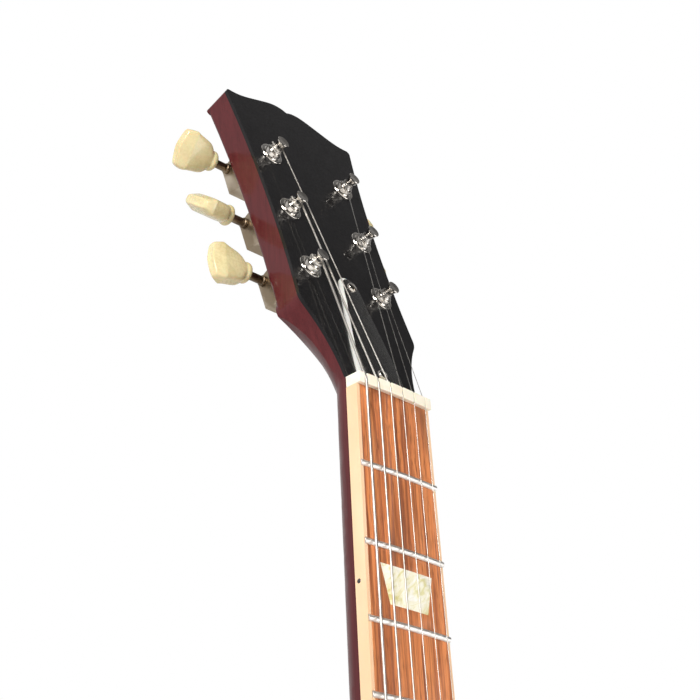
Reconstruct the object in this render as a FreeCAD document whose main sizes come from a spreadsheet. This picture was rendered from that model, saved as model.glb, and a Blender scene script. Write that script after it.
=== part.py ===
"""Electric guitar: glued neck, angled three-a-side headstock, carved single-cutaway body.

Three frames carry every piece.  The neck frame has its origin on the centreline at the front
edge of the nut, level with the edges of the fretboard: +Z runs up to the headstock, -Y faces the
player's audience and +X is the treble side.  The head frame leans back from the nut, with Z up
the headstock face and Y into it.  The body frame is turned about X by the neck pitch.  The
part's own origin is where a hanger's yoke carries the headstock flare.
"""
import FreeCAD, Part
import math
import os

import Sketcher
from FreeCAD import Vector

SIZES = {
    # neck and fretboard
    "scale_length": 628.65, "fret_count": 22, "board_length": 460, "nut_width": 43,
    "twelfth_width": 52.5, "board_edge": 6, "board_radius": 304.8, "crown_rise": 0.76,
    "binding_width": 1.6, "nut_length": 5, "nut_rise": 1.9, "fret_width": 2.7, "fret_rise": 1.1,
    "tang_width": 0.55, "tang_depth": 2.0, "inlay_depth": 1.4, "dot_diameter": 2.0,
    "heel_start": 384,
    "tenon_width": 38, "tenon_depth": 32, "tenon_end": 452, "neck_pitch": 4.0,
    # truss rod
    "rod_depth": 8.0, "rod_diameter": 4.8, "rod_channel": 6.4, "rod_nut_across": 7.0,
    "rod_nut_start": 12.6, "rod_nut_length": 8, "cover_thickness": 2.0, "cover_screw_low": 7,
    "cover_screw_high": 58,
    # headstock
    "head_tilt": 16.5, "head_drop": 5.0, "head_thickness": 14.8, "plate_thickness": 1.6,
    "head_height": 176.7,
    # tuners
    "post_spacing": 36.0, "post_low": 62.4, "post_low_half": 22.0, "post_flare": 0.5,
    "post_radius": 3.1, "post_rise": 9.0, "running_gap": 0.05, "worm_offset": 6.2,
    "worm_depth": 6.2, "worm_radius": 2.0, "gear_radius": 4.05, "gear_width": 3.4,
    "housing_half_width": 7.25, "housing_rise": 9.6, "sheet_metal": 0.8, "shaft_radius": 1.95,
    "button_base": 39.0, "button_length": 22, "button_width": 19.5, "button_thickness": 8,
    # strings
    "string_spread_nut": 35.6, "string_spread_bridge": 50.0, "string_lift_nut": 1.35,
    "string_lift_bridge": 4.6,
    # body
    "rim_plane": 20.9, "rim_height": 6.35, "back_thickness": 43.5, "dome_rise": 11.0,
    "body_middle": 600, "bridge_line": 626.9, "bridge_post_half": 37, "tail_line": 668,
    "tail_stud_half": 41, "pickup_width": 70, "pickup_height": 38.4, "neck_pickup": 483,
    "bridge_pickup": 596, "jack_radius": 3.2,
    # hanging point
    "yoke_rise": 29, "yoke_depth": 19,
}
STRING_RADII = (0.585, 0.457, 0.33, 0.216, 0.165, 0.127)
INLAY_FRETS = (3, 5, 7, 9, 12, 15, 17, 19, 21)
# How far each key is turned at rest: bass side from the nut up, then treble side likewise.
KEY_TURNS = {(-1, 0): -12, (-1, 1): 36, (-1, 2): -54, (1, 0): 20, (1, 1): -35, (1, 2): 70}
# Body outline from the bass side of the neck round the end to the treble side of the neck.
OUTLINE = (
    (-27, -386), (-60, -379), (-104, -391), (-134, -428), (-136, -478), (-120, -526), (-113, -566),
    (-124, -612), (-152, -660), (-165, -710), (-152, -763), (-108, -801), (-52, -814), (0, -817),
    (52, -814), (108, -801), (152, -763), (165, -710), (152, -660), (125, -612), (113, -566),
    (118, -524), (130, -484), (132, -450), (119, -424), (98, -413), (79, -422), (63, -441),
    (49, -455), (37, -454), (29.5, -438),
)
# Sections of the carved dome: share of the outline's size, share of the dome's rise.
DOME = ((0.955, 0.0), (0.86, 0.13), (0.72, 0.36), (0.58, 0.58), (0.42, 0.79), (0.24, 0.95), (0.08, 1.0))
# D-shaped sections up the headstock: height, depth and half width. The slab is kept inside them.
HEAD_FUNNEL = ((-8, 16.0, 21.5), (0, 16.3, 21.6), (12, 16.4, 24.4), (24, 18.5, 29), (36, 23, 37.5), (50, 32, 53))
TURN = {"X": ((0, 1, 0), 90), "-X": ((0, 1, 0), -90), "Y": ((1, 0, 0), -90),
        "-Y": ((1, 0, 0), 90), "Z": ((0, 0, 1), 0), "-Z": ((1, 0, 0), 180)}


class Size:
    """A number that carries the spreadsheet expression it is worked out from."""

    def __init__(self, value, text):
        self.value = value
        self.text = text

    def joined(self, sign, other, value):
        return Size(value, "(%s %s %s)" % (self.text, sign, other.text))

    def __add__(self, other):
        other = as_size(other)
        return self.joined("+", other, self.value + other.value)

    def __sub__(self, other):
        other = as_size(other)
        return self.joined("-", other, self.value - other.value)

    def __mul__(self, other):
        other = as_size(other)
        return self.joined("*", other, self.value * other.value)

    def __truediv__(self, other):
        other = as_size(other)
        return self.joined("/", other, self.value / other.value)

    def __neg__(self):
        return Size(-self.value, "(-1 * %s)" % self.text)

    def __rsub__(self, other):
        return as_size(other) - self

    def __float__(self):
        return float(self.value)

    __radd__ = __add__
    __rmul__ = __mul__


def as_size(number):
    if isinstance(number, Size):
        return number
    return Size(float(number), "(%.6f)" % number)


def arc_sine(ratio):
    """The angle in degrees whose sine is the ratio."""
    return Size(math.degrees(math.asin(ratio.value)), "(asin(%s))" % ratio.text)


class Sheet:
    """Attribute access to the spreadsheet: sheet.nut_width is a Size."""

    def __init__(self, document):
        page = document.addObject("Spreadsheet::Sheet", "Sheet")
        for row, (alias, value) in enumerate(SIZES.items(), 1):
            page.set("A%d" % row, alias)
            page.set("B%d" % row, "%s" % value)
            page.setAlias("B%d" % row, alias)

    def __getattr__(self, alias):
        return Size(SIZES[alias], "Sheet.%s" % alias)


doc = FreeCAD.newDocument("electric_guitar")
S = Sheet(doc)
doc.recompute()
nodes = {}
# Small round-head screws that share one node: truss-rod cover first, then the jack plate.
fasteners = []


def frame(name, y, z, lean):
    """A local coordinate system leaning about X, placed from the hanging point."""
    system = doc.addObject("Part::LocalCoordinateSystem", name)
    turn = as_size(lean)
    system.setExpression("Placement", "create(<<placement>>; create(<<vector>>; 0; %s; %s); "
                         "create(<<rotation>>; create(<<vector>>; 1; 0; 0); %s))"
                         % (as_size(y).text, as_size(z).text, turn.text))
    return system


NECK = frame("neck_frame", -S.yoke_depth, -S.yoke_rise, 0)
HEAD = frame("head_frame", S.head_drop - S.yoke_depth, S.nut_length - S.yoke_rise, -S.head_tilt)
BODY = frame("body_frame", -S.yoke_depth, -S.yoke_rise, S.neck_pitch)
doc.recompute()


def place(thing, system, x=0, y=0, z=0, direction="Z", roll=0):
    """Put a thing at x, y, z of a frame with its own +Z along the direction, rolled about it."""
    axis, angle = TURN[direction]
    thing.setExpression(
        "Placement", "%s.Placement * create(<<placement>>; create(<<vector>>; %s; %s; %s); "
        "create(<<rotation>>; create(<<vector>>; %d; %d; %d); %d)) * create(<<placement>>; "
        "create(<<vector>>; 0; 0; 0); create(<<rotation>>; create(<<vector>>; 0; 0; 1); %s))"
        % ((system.Name, as_size(x).text, as_size(y).text, as_size(z).text)
           + axis + (angle, as_size(roll).text)))
    return thing


def primitive(kind, name, **sizes):
    """A Part primitive whose properties are bound to the sheet."""
    thing = doc.addObject("Part::" + kind, name)
    for key, size in sizes.items():
        size = as_size(size)
        setattr(thing, key, size.value)
        thing.setExpression(key, size.text)
    return thing


def box(name, system, x, y, z, width, depth, height):
    """A box between x..x+width, y..y+depth and z..z+height of a frame."""
    thing = primitive("Box", name, Length=width, Width=depth, Height=height)
    return place(thing, system, x, y, z)


def cylinder(name, system, x, y, z, radius, height, direction="Z"):
    thing = primitive("Cylinder", name, Radius=radius, Height=height)
    return place(thing, system, x, y, z, direction)


def hexagon(name, system, x, y, z, across, height, direction="Z"):
    """A hexagonal prism measured across its flats."""
    thing = primitive("Prism", name, Circumradius=as_size(across) / 3 ** 0.5, Height=height)
    thing.Polygon = 6
    return place(thing, system, x, y, z, direction)


def joined(name, parts):
    thing = doc.addObject("Part::MultiFuse", name)
    thing.Shapes = parts
    return thing


def cut(name, base, tools):
    """The base without every tool."""
    thing = doc.addObject("Part::Cut", name)
    thing.Base = base
    thing.Tool = tools[0] if len(tools) == 1 else group(name + "_tools", tools)
    return thing


def cut_in_turn(name, base, tools):
    """The base without every tool, one after another: for tools that overlap each other."""
    for index, tool in enumerate(tools):
        base = cut("%s_%d" % (name, index), base, [tool])
    return base


def shared(name, first, second):
    thing = doc.addObject("Part::Common", name)
    thing.Base = first
    thing.Tool = second
    return thing


def group(name, parts):
    thing = doc.addObject("Part::Compound", name)
    thing.Links = parts
    return thing


def made(name, shape):
    """A feature whose shape comes from Part's own functions."""
    thing = doc.addObject("Part::Feature", name)
    thing.Shape = shape
    return thing


def node(name, thing):
    """Name a finished sub-part: its label is the file it is written to."""
    thing.Label = name
    nodes[name] = thing
    return thing


def new_sketch(body, role, depth=0):
    """A sketch on one of the body's own origin planes, lifted by a depth along its normal."""
    plane = [item for item in body.Origin.OriginFeatures if item.Role == role][0]
    sketch = body.newObject("Sketcher::SketchObject", "sketch")
    sketch.AttachmentSupport = [(plane, "")]
    sketch.MapMode = "FlatFace"
    sketch.AttachmentOffset = FreeCAD.Placement(Vector(0, 0, float(depth)), FreeCAD.Rotation())
    sketch.setExpression("AttachmentOffset.Base.z", as_size(depth).text)
    return sketch


def polygon(sketch, points):
    """Draw a closed polygon whose corners are held by dimensions from the origin."""
    corners = [(as_size(x), as_size(y)) for x, y in points]
    spots = [Vector(x.value, y.value, 0) for x, y in corners]
    for index, spot in enumerate(spots):
        sketch.addGeometry(Part.LineSegment(spot, spots[(index + 1) % len(spots)]), False)
    for index, corner in enumerate(corners):
        following = (index + 1) % len(corners)
        sketch.addConstraint(Sketcher.Constraint("Coincident", index, 2, following, 1))
        for kind, axis, size in (("DistanceX", -2, corner[0]), ("DistanceY", -1, corner[1])):
            if abs(size.value) < 1e-9:
                sketch.addConstraint(Sketcher.Constraint("PointOnObject", index, 1, axis))
                continue
            held = sketch.addConstraint(Sketcher.Constraint(kind, -1, 1, index, 1, size.value))
            sketch.setExpression("Constraints[%d]" % held, size.text)


def padded(name, points, length):
    """A polygon in the XY plane, padded along +Z."""
    body = doc.addObject("PartDesign::Body", name)
    sketch = new_sketch(body, "XY_Plane")
    polygon(sketch, points)
    pad = body.newObject("PartDesign::Pad", name + "_pad")
    pad.Profile = sketch
    length = as_size(length)
    pad.Length = length.value
    pad.setExpression("Length", length.text)
    sketch.Visibility = False
    return body


def turned(name, profile):
    """A profile of (radius, height) corners turned about the body's own Z axis."""
    body = doc.addObject("PartDesign::Body", name)
    sketch = new_sketch(body, "XZ_Plane")
    polygon(sketch, profile)
    turn = body.newObject("PartDesign::Revolution", name + "_turn")
    turn.Profile = sketch
    turn.ReferenceAxis = (sketch, ["V_Axis"])
    turn.Angle = 360
    return body


def outlined(name, edges, length):
    """A closed outline of given edges in the XY plane, padded along +Z."""
    body = doc.addObject("PartDesign::Body", name)
    sketch = new_sketch(body, "XY_Plane")
    sketch.addGeometry(edges, False)
    pad = body.newObject("PartDesign::Pad", name + "_pad")
    pad.Profile = sketch
    length = as_size(length)
    pad.Length = length.value
    pad.setExpression("Length", length.text)
    return body


def rounded(name, base, radius, wanted):
    """Fillet the edges of the base for which wanted(edge) is true."""
    doc.recompute()
    thing = doc.addObject("Part::Fillet", name)
    thing.Base = base
    thing.Edges = [(index, radius, radius) for index, edge in enumerate(base.Shape.Edges, 1)
                   if wanted(edge)]
    return thing


def arc(start, middle, end):
    return Part.Arc(*(Vector(x, y, 0) for x, y in (start, middle, end)))


def line(start, end):
    return Part.LineSegment(Vector(start[0], start[1], 0), Vector(end[0], end[1], 0))


def spline(points, closed=False):
    curve = Part.BSplineCurve()
    curve.interpolate([Vector(x, y, 0) for x, y in points], PeriodicFlag=closed)
    return curve


# ---------------------------------------------------------------- neck and fretboard

board_taper = (S.twelfth_width - S.nut_width) / S.scale_length


def half_width(distance):
    """Half the fretboard's width at a distance below the nut."""
    return S.nut_width / 2 + board_taper * distance


def fret_distance(number):
    return S.scale_length - S.scale_length / 2 ** (number / 12)


def board_slab(name, inset, front, back, length):
    """A tapered slab under the strings, its sides in from the board's edges by the inset."""
    top, end = half_width(0) - inset, half_width(length) - inset
    slab = primitive("Wedge", name, Xmin=-top, Xmax=top, X2min=-end, X2max=end, Ymin=0,
                     Ymax=length, Zmin=front, Zmax=back, Z2min=front, Z2max=back)
    return place(slab, NECK, direction="Y")


def board_crown(name, lift):
    """A cylinder concentric with the fretboard's crowned surface."""
    return cylinder(name, NECK, 0, S.board_radius - S.crown_rise, -S.board_length - 20,
                    S.board_radius + lift, S.board_length + 60)


def inlay_blank(number):
    """A keystone-shaped plug between a fret and the one above, wide end towards the nut."""
    upper, lower = fret_distance(number - 1), fret_distance(number)
    middle = (upper + lower) / 2
    height = (lower - upper) * 0.52
    wide, narrow = half_width(middle) * 0.648, half_width(middle) * 0.472
    plug = primitive("Wedge", "inlay_blank_%d" % number, Xmin=-wide, Xmax=wide, X2min=-narrow,
                     X2max=narrow, Ymin=0, Ymax=height, Zmin=-3, Zmax=0, Z2min=-3, Z2max=0)
    return place(plug, NECK, 0, S.inlay_depth - S.crown_rise, height / 2 - middle, "Y")


def fret(number):
    """A fret: crown across the whole board, tang only in the wood between the bindings."""
    distance = fret_distance(number)
    body = doc.addObject("PartDesign::Body", "fret_%d" % number)
    half = S.fret_width / 2
    crown = new_sketch(body, "YZ_Plane")
    inner, outer = -S.board_radius, -S.board_radius - S.fret_rise
    crown.addGeometry(arc((inner.value, half.value), (outer.value, 0), (inner.value, -half.value)))
    crown.addGeometry(line((inner.value, -half.value), (inner.value, half.value)))
    tang = new_sketch(body, "YZ_Plane")
    deep, thin = S.tang_depth - S.board_radius, S.tang_width / 2
    polygon(tang, ((inner - 0.2, -thin), (deep, -thin), (deep, thin), (inner - 0.2, thin)))
    reach = half_width(distance)
    for label, sketch, half_reach in (("crown", crown, reach - 0.15), ("tang", tang, reach - 2.2)):
        turn = body.newObject("PartDesign::Revolution", "fret_%d_%s" % (number, label))
        turn.Profile = sketch
        turn.ReferenceAxis = (sketch, ["V_Axis"])
        turn.Midplane = True
        sweep = arc_sine(half_reach / S.board_radius) * 2
        turn.Angle = sweep.value
        turn.setExpression("Angle", sweep.text)
    return place(body, NECK, 0, S.board_radius - S.crown_rise, -distance)


def fret_slot(number):
    half = S.tang_width / 2 + 0.025
    reach = half_width(fret_distance(number)) - 2.0
    return box("fret_slot_%d" % number, NECK, -reach, -3, -fret_distance(number) - half,
               reach * 2, S.tang_depth + 3.6, half * 2)


def make_fretboard():
    crown = board_crown("board_crown", 0)
    wood_length = S.board_length - S.binding_width
    wood = shared("board_wood", board_slab("board_slab", S.binding_width, -3, S.board_edge,
                                           wood_length), crown)
    blanks = [inlay_blank(number) for number in INLAY_FRETS]
    slots = [fret_slot(number) for number in range(1, SIZES["fret_count"] + 1)]
    node("fretboard", cut("fretboard_cut", wood, blanks + slots))
    node("inlays", group("inlay_group", [shared("inlay_%d" % number, blank, crown)
                                         for number, blank in zip(INLAY_FRETS, blanks)]))
    node("frets", group("fret_group", [fret(number) for number in
                                       range(1, SIZES["fret_count"] + 1)]))
    rim = shared("binding_rim", board_slab("rim_slab", 0, -3, S.board_edge, S.board_length), crown)
    inside = board_slab("rim_inside", S.binding_width, -4, S.board_edge + 1, wood_length)
    dots = []
    for number in INLAY_FRETS:
        offsets = (-5, 5) if number == 12 else (0,)
        for offset in offsets:
            middle = (fret_distance(number - 1) + fret_distance(number)) / 2 + offset
            dots.append(cylinder("dot_%d_%d" % (number, offset + 5), NECK, -half_width(middle) - 0.5,
                                 4, -middle, S.dot_diameter / 2, 1.5, "X"))
    binding = cut("binding_cut", rim, [inside])
    node("side_dots", group("dot_group", [shared(dot.Name + "_plug", dot, binding)
                                          for dot in dots]))
    node("fretboard_binding", cut("fretboard_binding_cut", binding, dots))


def d_section(body, level, edge, deep, reach):
    """A D-shaped section at a level: flat along its front edge, round at the back."""
    sketch = new_sketch(body, "XY_Plane", level)
    turn = [math.pi * step / 8 for step in range(9)]
    points = [(reach * math.cos(angle), edge + deep * math.sin(angle) ** 0.85) for angle in turn]
    points[-1] = (-reach, edge)
    sketch.addGeometry(spline(points))
    sketch.addGeometry(line(points[-1], points[0]))
    return sketch


def d_loft(name, sections):
    """A smooth solid through D-shaped sections."""
    body = doc.addObject("PartDesign::Body", name)
    sketches = [d_section(body, *section) for section in sections]
    loft = body.newObject("PartDesign::AdditiveLoft", name + "_loft")
    loft.Profile = sketches[0]
    loft.Sections = sketches[1:]
    return body


def long_back(edge):
    """Whether an edge of the headstock's slab is one of its two long edges at the back."""
    return edge.Length > 100 and all(abs(vertex.Z) < 0.01 for vertex in edge.Vertexes)


def make_head_blank():
    """The headstock's slab, its back rounded off where it grows out of the neck."""
    flat = outlined("head_flat", head_outline(), S.head_thickness - S.plate_thickness)
    slab = rounded("head_slab", flat, 2.0, long_back)
    place(slab, HEAD, 0, S.head_thickness, 0, "-Y")
    funnel = d_loft("head_funnel", [(rise, 0, depth, half) for rise, depth, half in HEAD_FUNNEL])
    place(funnel, HEAD)
    above = box("head_above", HEAD, -60, -5, HEAD_FUNNEL[-1][0] - 4, 120, 60, 150)
    return shared("head_blank", slab, joined("head_limits", [funnel, above]))


def rod_way(name):
    """The channel the truss rod lies in, under the fretboard."""
    return box(name, NECK, -S.rod_channel / 2, S.board_edge - 1, -S.tenon_end + 20, S.rod_channel,
               S.rod_depth + 1 + S.rod_diameter / 2, S.tenon_end - 20)


def make_neck():
    plan = ((-5, 14.6), (40, 15.2), (160, 16.4), (314, 18.2), (345, 20), (366, 27), (384, 40))
    shaft = d_loft("neck_shaft", [(-distance, SIZES["board_edge"], depth,
                                   half_width(max(distance, 0)).value) for distance, depth in plan])
    place(shaft, NECK)
    tenon = box("tenon", NECK, -S.tenon_width / 2, S.board_edge, -S.tenon_end, S.tenon_width,
                S.tenon_depth, S.tenon_end - S.heel_start + 1)
    rod_line = S.board_edge + S.rod_depth
    bore = cylinder("rod_bore", NECK, 0, rod_line, -1, S.rod_diameter / 2 + 0.1, 15)
    tunnel = cylinder("rod_tunnel", NECK, 0, rod_line, S.rod_nut_start - 0.8, 4.5, 17)
    pocket = box("rod_pocket", HEAD, -6.5, 0, 9.4, 13, 8, 35)
    shelf = box("nut_shelf", NECK, -30, -6, 0, 60, S.board_edge + 6, S.nut_length)
    tools = [rod_way("rod_channel"), bore, tunnel, pocket, shelf]
    tools += [post_hole(side, row) for side, row in TUNERS] + cover_screw_holes()
    blank = joined("neck_blank", [shaft, make_head_blank(), tenon])
    node("neck", cut("neck_cut", blank, tools))


def nut_slot(index, radius):
    """Where a string crosses the nut: level to its bearing line, then falling to its post."""
    middle, floor, half = nut_x(index), string_y(index, 0) + radius, radius + 0.15
    level = box("nut_level_%d" % index, NECK, middle - half, -6, -1, 2 * half, 6 + floor,
                S.nut_length + 2)
    fall = primitive("Wedge", "nut_fall_%d" % index, Xmin=middle - half, Xmax=middle + half,
                     X2min=middle - half, X2max=middle + half, Ymin=floor - 0.1,
                     Ymax=floor + 1.0, Zmin=1.9, Zmax=6, Z2min=5.3, Z2max=6)
    return [level, place(fall, NECK)]


def make_nut():
    blank = box("nut_blank", NECK, -S.nut_width / 2, -4, 0, S.nut_width, S.board_edge + 4,
                S.nut_length)
    base = shared("nut_crowned", blank, board_crown("nut_crown", S.nut_rise))
    for index, radius in enumerate(STRING_RADII):
        base = cut_in_turn("nut_cut_%d" % index, base, nut_slot(index, radius))
    node("nut", base)


# ---------------------------------------------------------------- headstock

TUNERS = [(side, row) for side in (-1, 1) for row in (0, 1, 2)]


def head_outline():
    """The headstock: flare above the nut, waisted sides, two low waves along the crown."""
    foot, flare, waist = (21.4, -1.0), (33.2, 36.2), (34.9, 43.5)
    crown = ((38.4, 170.9), (29.5, 171.6), (22.5, 173.8), (14.5, 176.6), (8.0, 178.2), (3.0, 177.9),
             (0.0, SIZES["head_height"]))
    right = [arc(foot, (26.9, 24.0), flare), arc(flare, (34.75, 39.5), waist),
             arc(waist, (34.2, 105.0), (40.2, 168.3)), arc((40.2, 168.3), (39.9, 170.2), crown[0]),
             spline(crown)]
    left = [arc((-flare[0], flare[1]), (-26.9, 24.0), (-foot[0], foot[1])),
            arc((-waist[0], waist[1]), (-34.75, 39.5), (-flare[0], flare[1])),
            arc((-40.2, 168.3), (-34.2, 105.0), (-waist[0], waist[1])),
            arc((-crown[0][0], crown[0][1]), (-39.9, 170.2), (-40.2, 168.3)),
            spline([(-x, y) for x, y in reversed(crown)])]
    return right + [left[4], left[3], left[2], left[1], left[0], line((-foot[0], foot[1]), foot)]


def post_spot(side, row):
    """Where a post stands on the headstock face: x and height up the face."""
    return (S.post_low_half + S.post_flare * row) * side, S.post_low + S.post_spacing * row


def post_hole(side, row):
    x, rise = post_spot(side, row)
    return cylinder("post_hole_%d_%d" % (side, row), HEAD, x, -1, rise, 4.3,
                    S.head_thickness + 2, "Y")


def cover_screw_holes():
    return [cylinder("cover_screw_hole", HEAD, 0, -1, rise, 1.0, 5.65, "Y")
            for rise in (S.cover_screw_low, S.cover_screw_high)]


def cover_outline():
    """A slim bell: wide at the nut, its sides nearly straight, with a round top."""
    right = [arc((14.2, 2.6), (13.9, 8.0), (13.0, 16.0)), arc((13.0, 16.0), (10.6, 32.0), (7.6, 48.0)),
             arc((7.6, 48.0), (7.0, 54.0), (5.9, 59.0)), arc((5.9, 59.0), (0.0, 64.5), (-5.9, 59.0))]
    left = [arc((-5.9, 59.0), (-7.0, 54.0), (-7.6, 48.0)), arc((-7.6, 48.0), (-10.6, 32.0), (-13.0, 16.0)),
            arc((-13.0, 16.0), (-13.9, 8.0), (-14.2, 2.6)), line((-14.2, 2.6), (14.2, 2.6))]
    return right + left


def make_headplate():
    plate = outlined("plate_blank", head_outline(), S.plate_thickness)
    place(plate, HEAD, 0, S.plate_thickness, 0, "-Y")
    window = box("plate_window", HEAD, -6.5, -1, 9.4, 13, 4, 35)
    under_nut = box("plate_foot", NECK, -30, -6, -2, 60, 20, S.nut_length + 2)
    tools = [window, under_nut] + [post_hole(side, row) for side, row in TUNERS] + cover_screw_holes()
    node("headplate", cut("headplate_cut", plate, tools))


def make_truss_rod():
    rod_line = S.board_edge + S.rod_depth
    rod = cylinder("rod", NECK, 0, rod_line, -S.tenon_end + 20.5, S.rod_diameter / 2,
                   S.tenon_end - 20.5 + 22)
    node("truss_rod", rod)
    hexed = hexagon("rod_nut_hex", NECK, 0, rod_line, S.rod_nut_start, S.rod_nut_across,
                    S.rod_nut_length)
    bore = cylinder("rod_nut_bore", NECK, 0, rod_line, S.rod_nut_start - 1,
                    S.rod_diameter / 2 + S.running_gap, 14)
    node("truss_rod_nut", cut("rod_nut_cut", hexed, [bore]))
    cover = outlined("cover_blank", cover_outline(), S.cover_thickness)
    place(cover, HEAD, 0, 0, 0, "-Y")
    heads, holes = [], []
    for rise in (S.cover_screw_low, S.cover_screw_high):
        screw = turned("cover_screw", ((0, -4.5), (0.98, -3.6), (0.98, S.cover_thickness),
                                       (2.6, S.cover_thickness), (2.2, S.cover_thickness + 0.9),
                                       (0, S.cover_thickness + 1.3)))
        place(screw, HEAD, 0, 0, rise, "-Y")
        slot = box("cover_screw_slot", HEAD, -0.3, -S.cover_thickness - 2, rise - 3, 0.6, 1.3, 6)
        heads.append(cut("cover_screw_cut", screw, [slot]))
        holes.append(cylinder("cover_hole", HEAD, 0, 1, rise, 1.0, 6, "-Y"))
    node("truss_rod_cover", cut("cover_cut", cover, holes))
    fasteners.extend(heads)


# ---------------------------------------------------------------- tuners

def make_post(side, row):
    """A string post with its worm gear below: capped, waisted for the string, cross-drilled."""
    x, rise = post_spot(side, row)
    radius, tip = S.post_radius, S.post_rise
    gear_low = S.worm_depth + S.head_thickness - S.gear_width / 2
    gear_high = gear_low + S.gear_width
    name = "post_%s_%d" % (word(side), row + 1)
    post = turned(name + "_turned", (
        (0, -gear_high - 0.7), (1.5, -gear_high - 0.7), (1.5, -gear_high),
        (S.gear_radius, -gear_high), (S.gear_radius, -gear_low), (radius, -gear_low),
        (radius, 3.2), (2.45, 4.2), (2.45, 6.0), (radius, 6.9), (radius, tip - 0.5),
        (radius - 0.6, tip), (0, tip)))
    place(post, HEAD, x, 0, rise, "-Y")
    hole = cylinder(name + "_hole", HEAD, x - 5, -5.1, rise, 0.75, 10, "X")
    teeth = []
    for tooth in range(14):
        angle = math.radians(360 / 14 * tooth)
        teeth.append(cylinder(name + "_gap", HEAD, x + S.gear_radius * math.cos(angle),
                              gear_low - 0.5, rise + S.gear_radius * math.sin(angle), 0.42,
                              S.gear_width + 1, "Y"))
    node(name, cut(name + "_cut", post, [hole] + teeth))


def word(side):
    return "bass" if side < 0 else "treble"


def make_bushing(side, row):
    """A hexagonal threaded bushing that clamps a washer to the headstock face."""
    x, rise = post_spot(side, row)
    bore = S.post_radius + S.running_gap
    washer = turned("post_washer", ((bore + 1.2, 0), (5.9, 0), (5.5, 0.9), (bore + 1.2, 0.9)))
    place(washer, HEAD, x, 0, rise, "-Y")
    sleeve = cylinder("bushing_sleeve", HEAD, x, 9, rise, bore + 1.1, 10.5, "-Y")
    crown = hexagon("bushing_hex", HEAD, x, -0.9, rise, 9.0, 1.9, "-Y")
    hole = cylinder("bushing_bore", HEAD, x, 12, rise, bore, 20, "-Y")
    bushing = cut("bushing_cut", joined("bushing_blank", [sleeve, crown]), [hole])
    return washer, bushing


def make_housing(side, row):
    """A pressed cover over the gear: foot plate, hollow box with sloping ends, shaft holes."""
    x, rise = post_spot(side, row)
    back, half, wall = S.head_thickness, S.housing_half_width, S.sheet_metal
    top = back + S.housing_rise
    foot = box("housing_foot", HEAD, x - half, back, rise - 17.4, half * 2, wall, 34.8)
    hull = padded("housing_hull", ((back, -10.5), (top, -7.5), (top, 8.6), (back, 10.6)), half * 2)
    hollow = padded("housing_hollow", ((back - 1, -9.9), (top - wall, -6.9), (top - wall, 8.1),
                                       (back - 1, 10.0)), half * 2 - wall * 2)
    # The two prisms are drawn as (depth, height) and padded across the headstock.
    for prism, start in ((hull, x - half), (hollow, x - half + wall)):
        prism.setExpression("Placement", cross_placement(start, rise))
    shaft_way = cylinder("shaft_way", HEAD, x - 10, back + S.worm_depth, rise + S.worm_offset,
                         S.shaft_radius + S.running_gap, 20, "X")
    post_way = cylinder("post_way", HEAD, x, back - 2, rise, S.gear_radius + 0.3, 4, "Y")
    screw_ways = [cylinder("tuner_screw_way", HEAD, x, back - 2, rise + offset, 1.3, 4, "Y")
                  for offset in (-14, 14)]
    return cut("housing_cut", joined("housing_blank", [foot, hull]),
               [hollow, shaft_way, post_way] + screw_ways)


def cross_placement(start, rise):
    """A drawing of (depth, height) in the head frame whose padding runs along +X."""
    return ("head_frame.Placement * create(<<placement>>; create(<<vector>>; %s; 0; %s); "
            "create(<<rotation>>; create(<<vector>>; 1; 1; 1); 120))"
            % (as_size(start).text, as_size(rise).text))


def make_tuner_screws(side, row):
    x, rise = post_spot(side, row)
    back = S.head_thickness + S.sheet_metal
    screws = []
    for offset in (-14, 14):
        screw = turned("tuner_screw", ((0, -7.5), (0.5, -6.5), (1.2, -5.5), (1.2, 0), (2.4, 0),
                                       (1.9, 0.9), (0, 1.3)))
        place(screw, HEAD, x, back, rise + offset, "Y")
        screws.append(screw)
    return screws


def make_key(side, row):
    """A worm shaft with its collar, and the keystone button moulded on its end."""
    x, rise = post_spot(side, row)
    depth, line_height = S.head_thickness + S.worm_depth, rise + S.worm_offset
    away = "X" if side > 0 else "-X"
    reach = S.button_base - (S.post_low_half + S.post_flare * row)
    face = S.housing_half_width
    name = "key_shaft_%s_%d" % (word(side), row + 1)
    worm, bar = S.worm_radius, S.shaft_radius
    ridges = [(bar - 0.4, -4.5)]
    for step in range(5):
        start = -4.0 + step * 1.7
        ridges += [(worm, start), (worm, start + 0.7), (worm - 0.5, start + 0.95),
                   (worm - 0.5, start + 1.45)]
    profile = [(0, -face + 0.9), (bar - 0.4, -face + 0.9)] + ridges + [
        (bar, 4.9), (bar, face + 0.1), (2.45, face + 0.1), (2.45, face + 1.3), (bar, face + 1.6),
        (bar, reach + 5), (0, reach + 5)]
    shaft = turned(name + "_turned", profile)
    node(name, place(shaft, HEAD, x, depth, line_height, away))
    make_button(side, row, depth, line_height, away)


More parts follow.
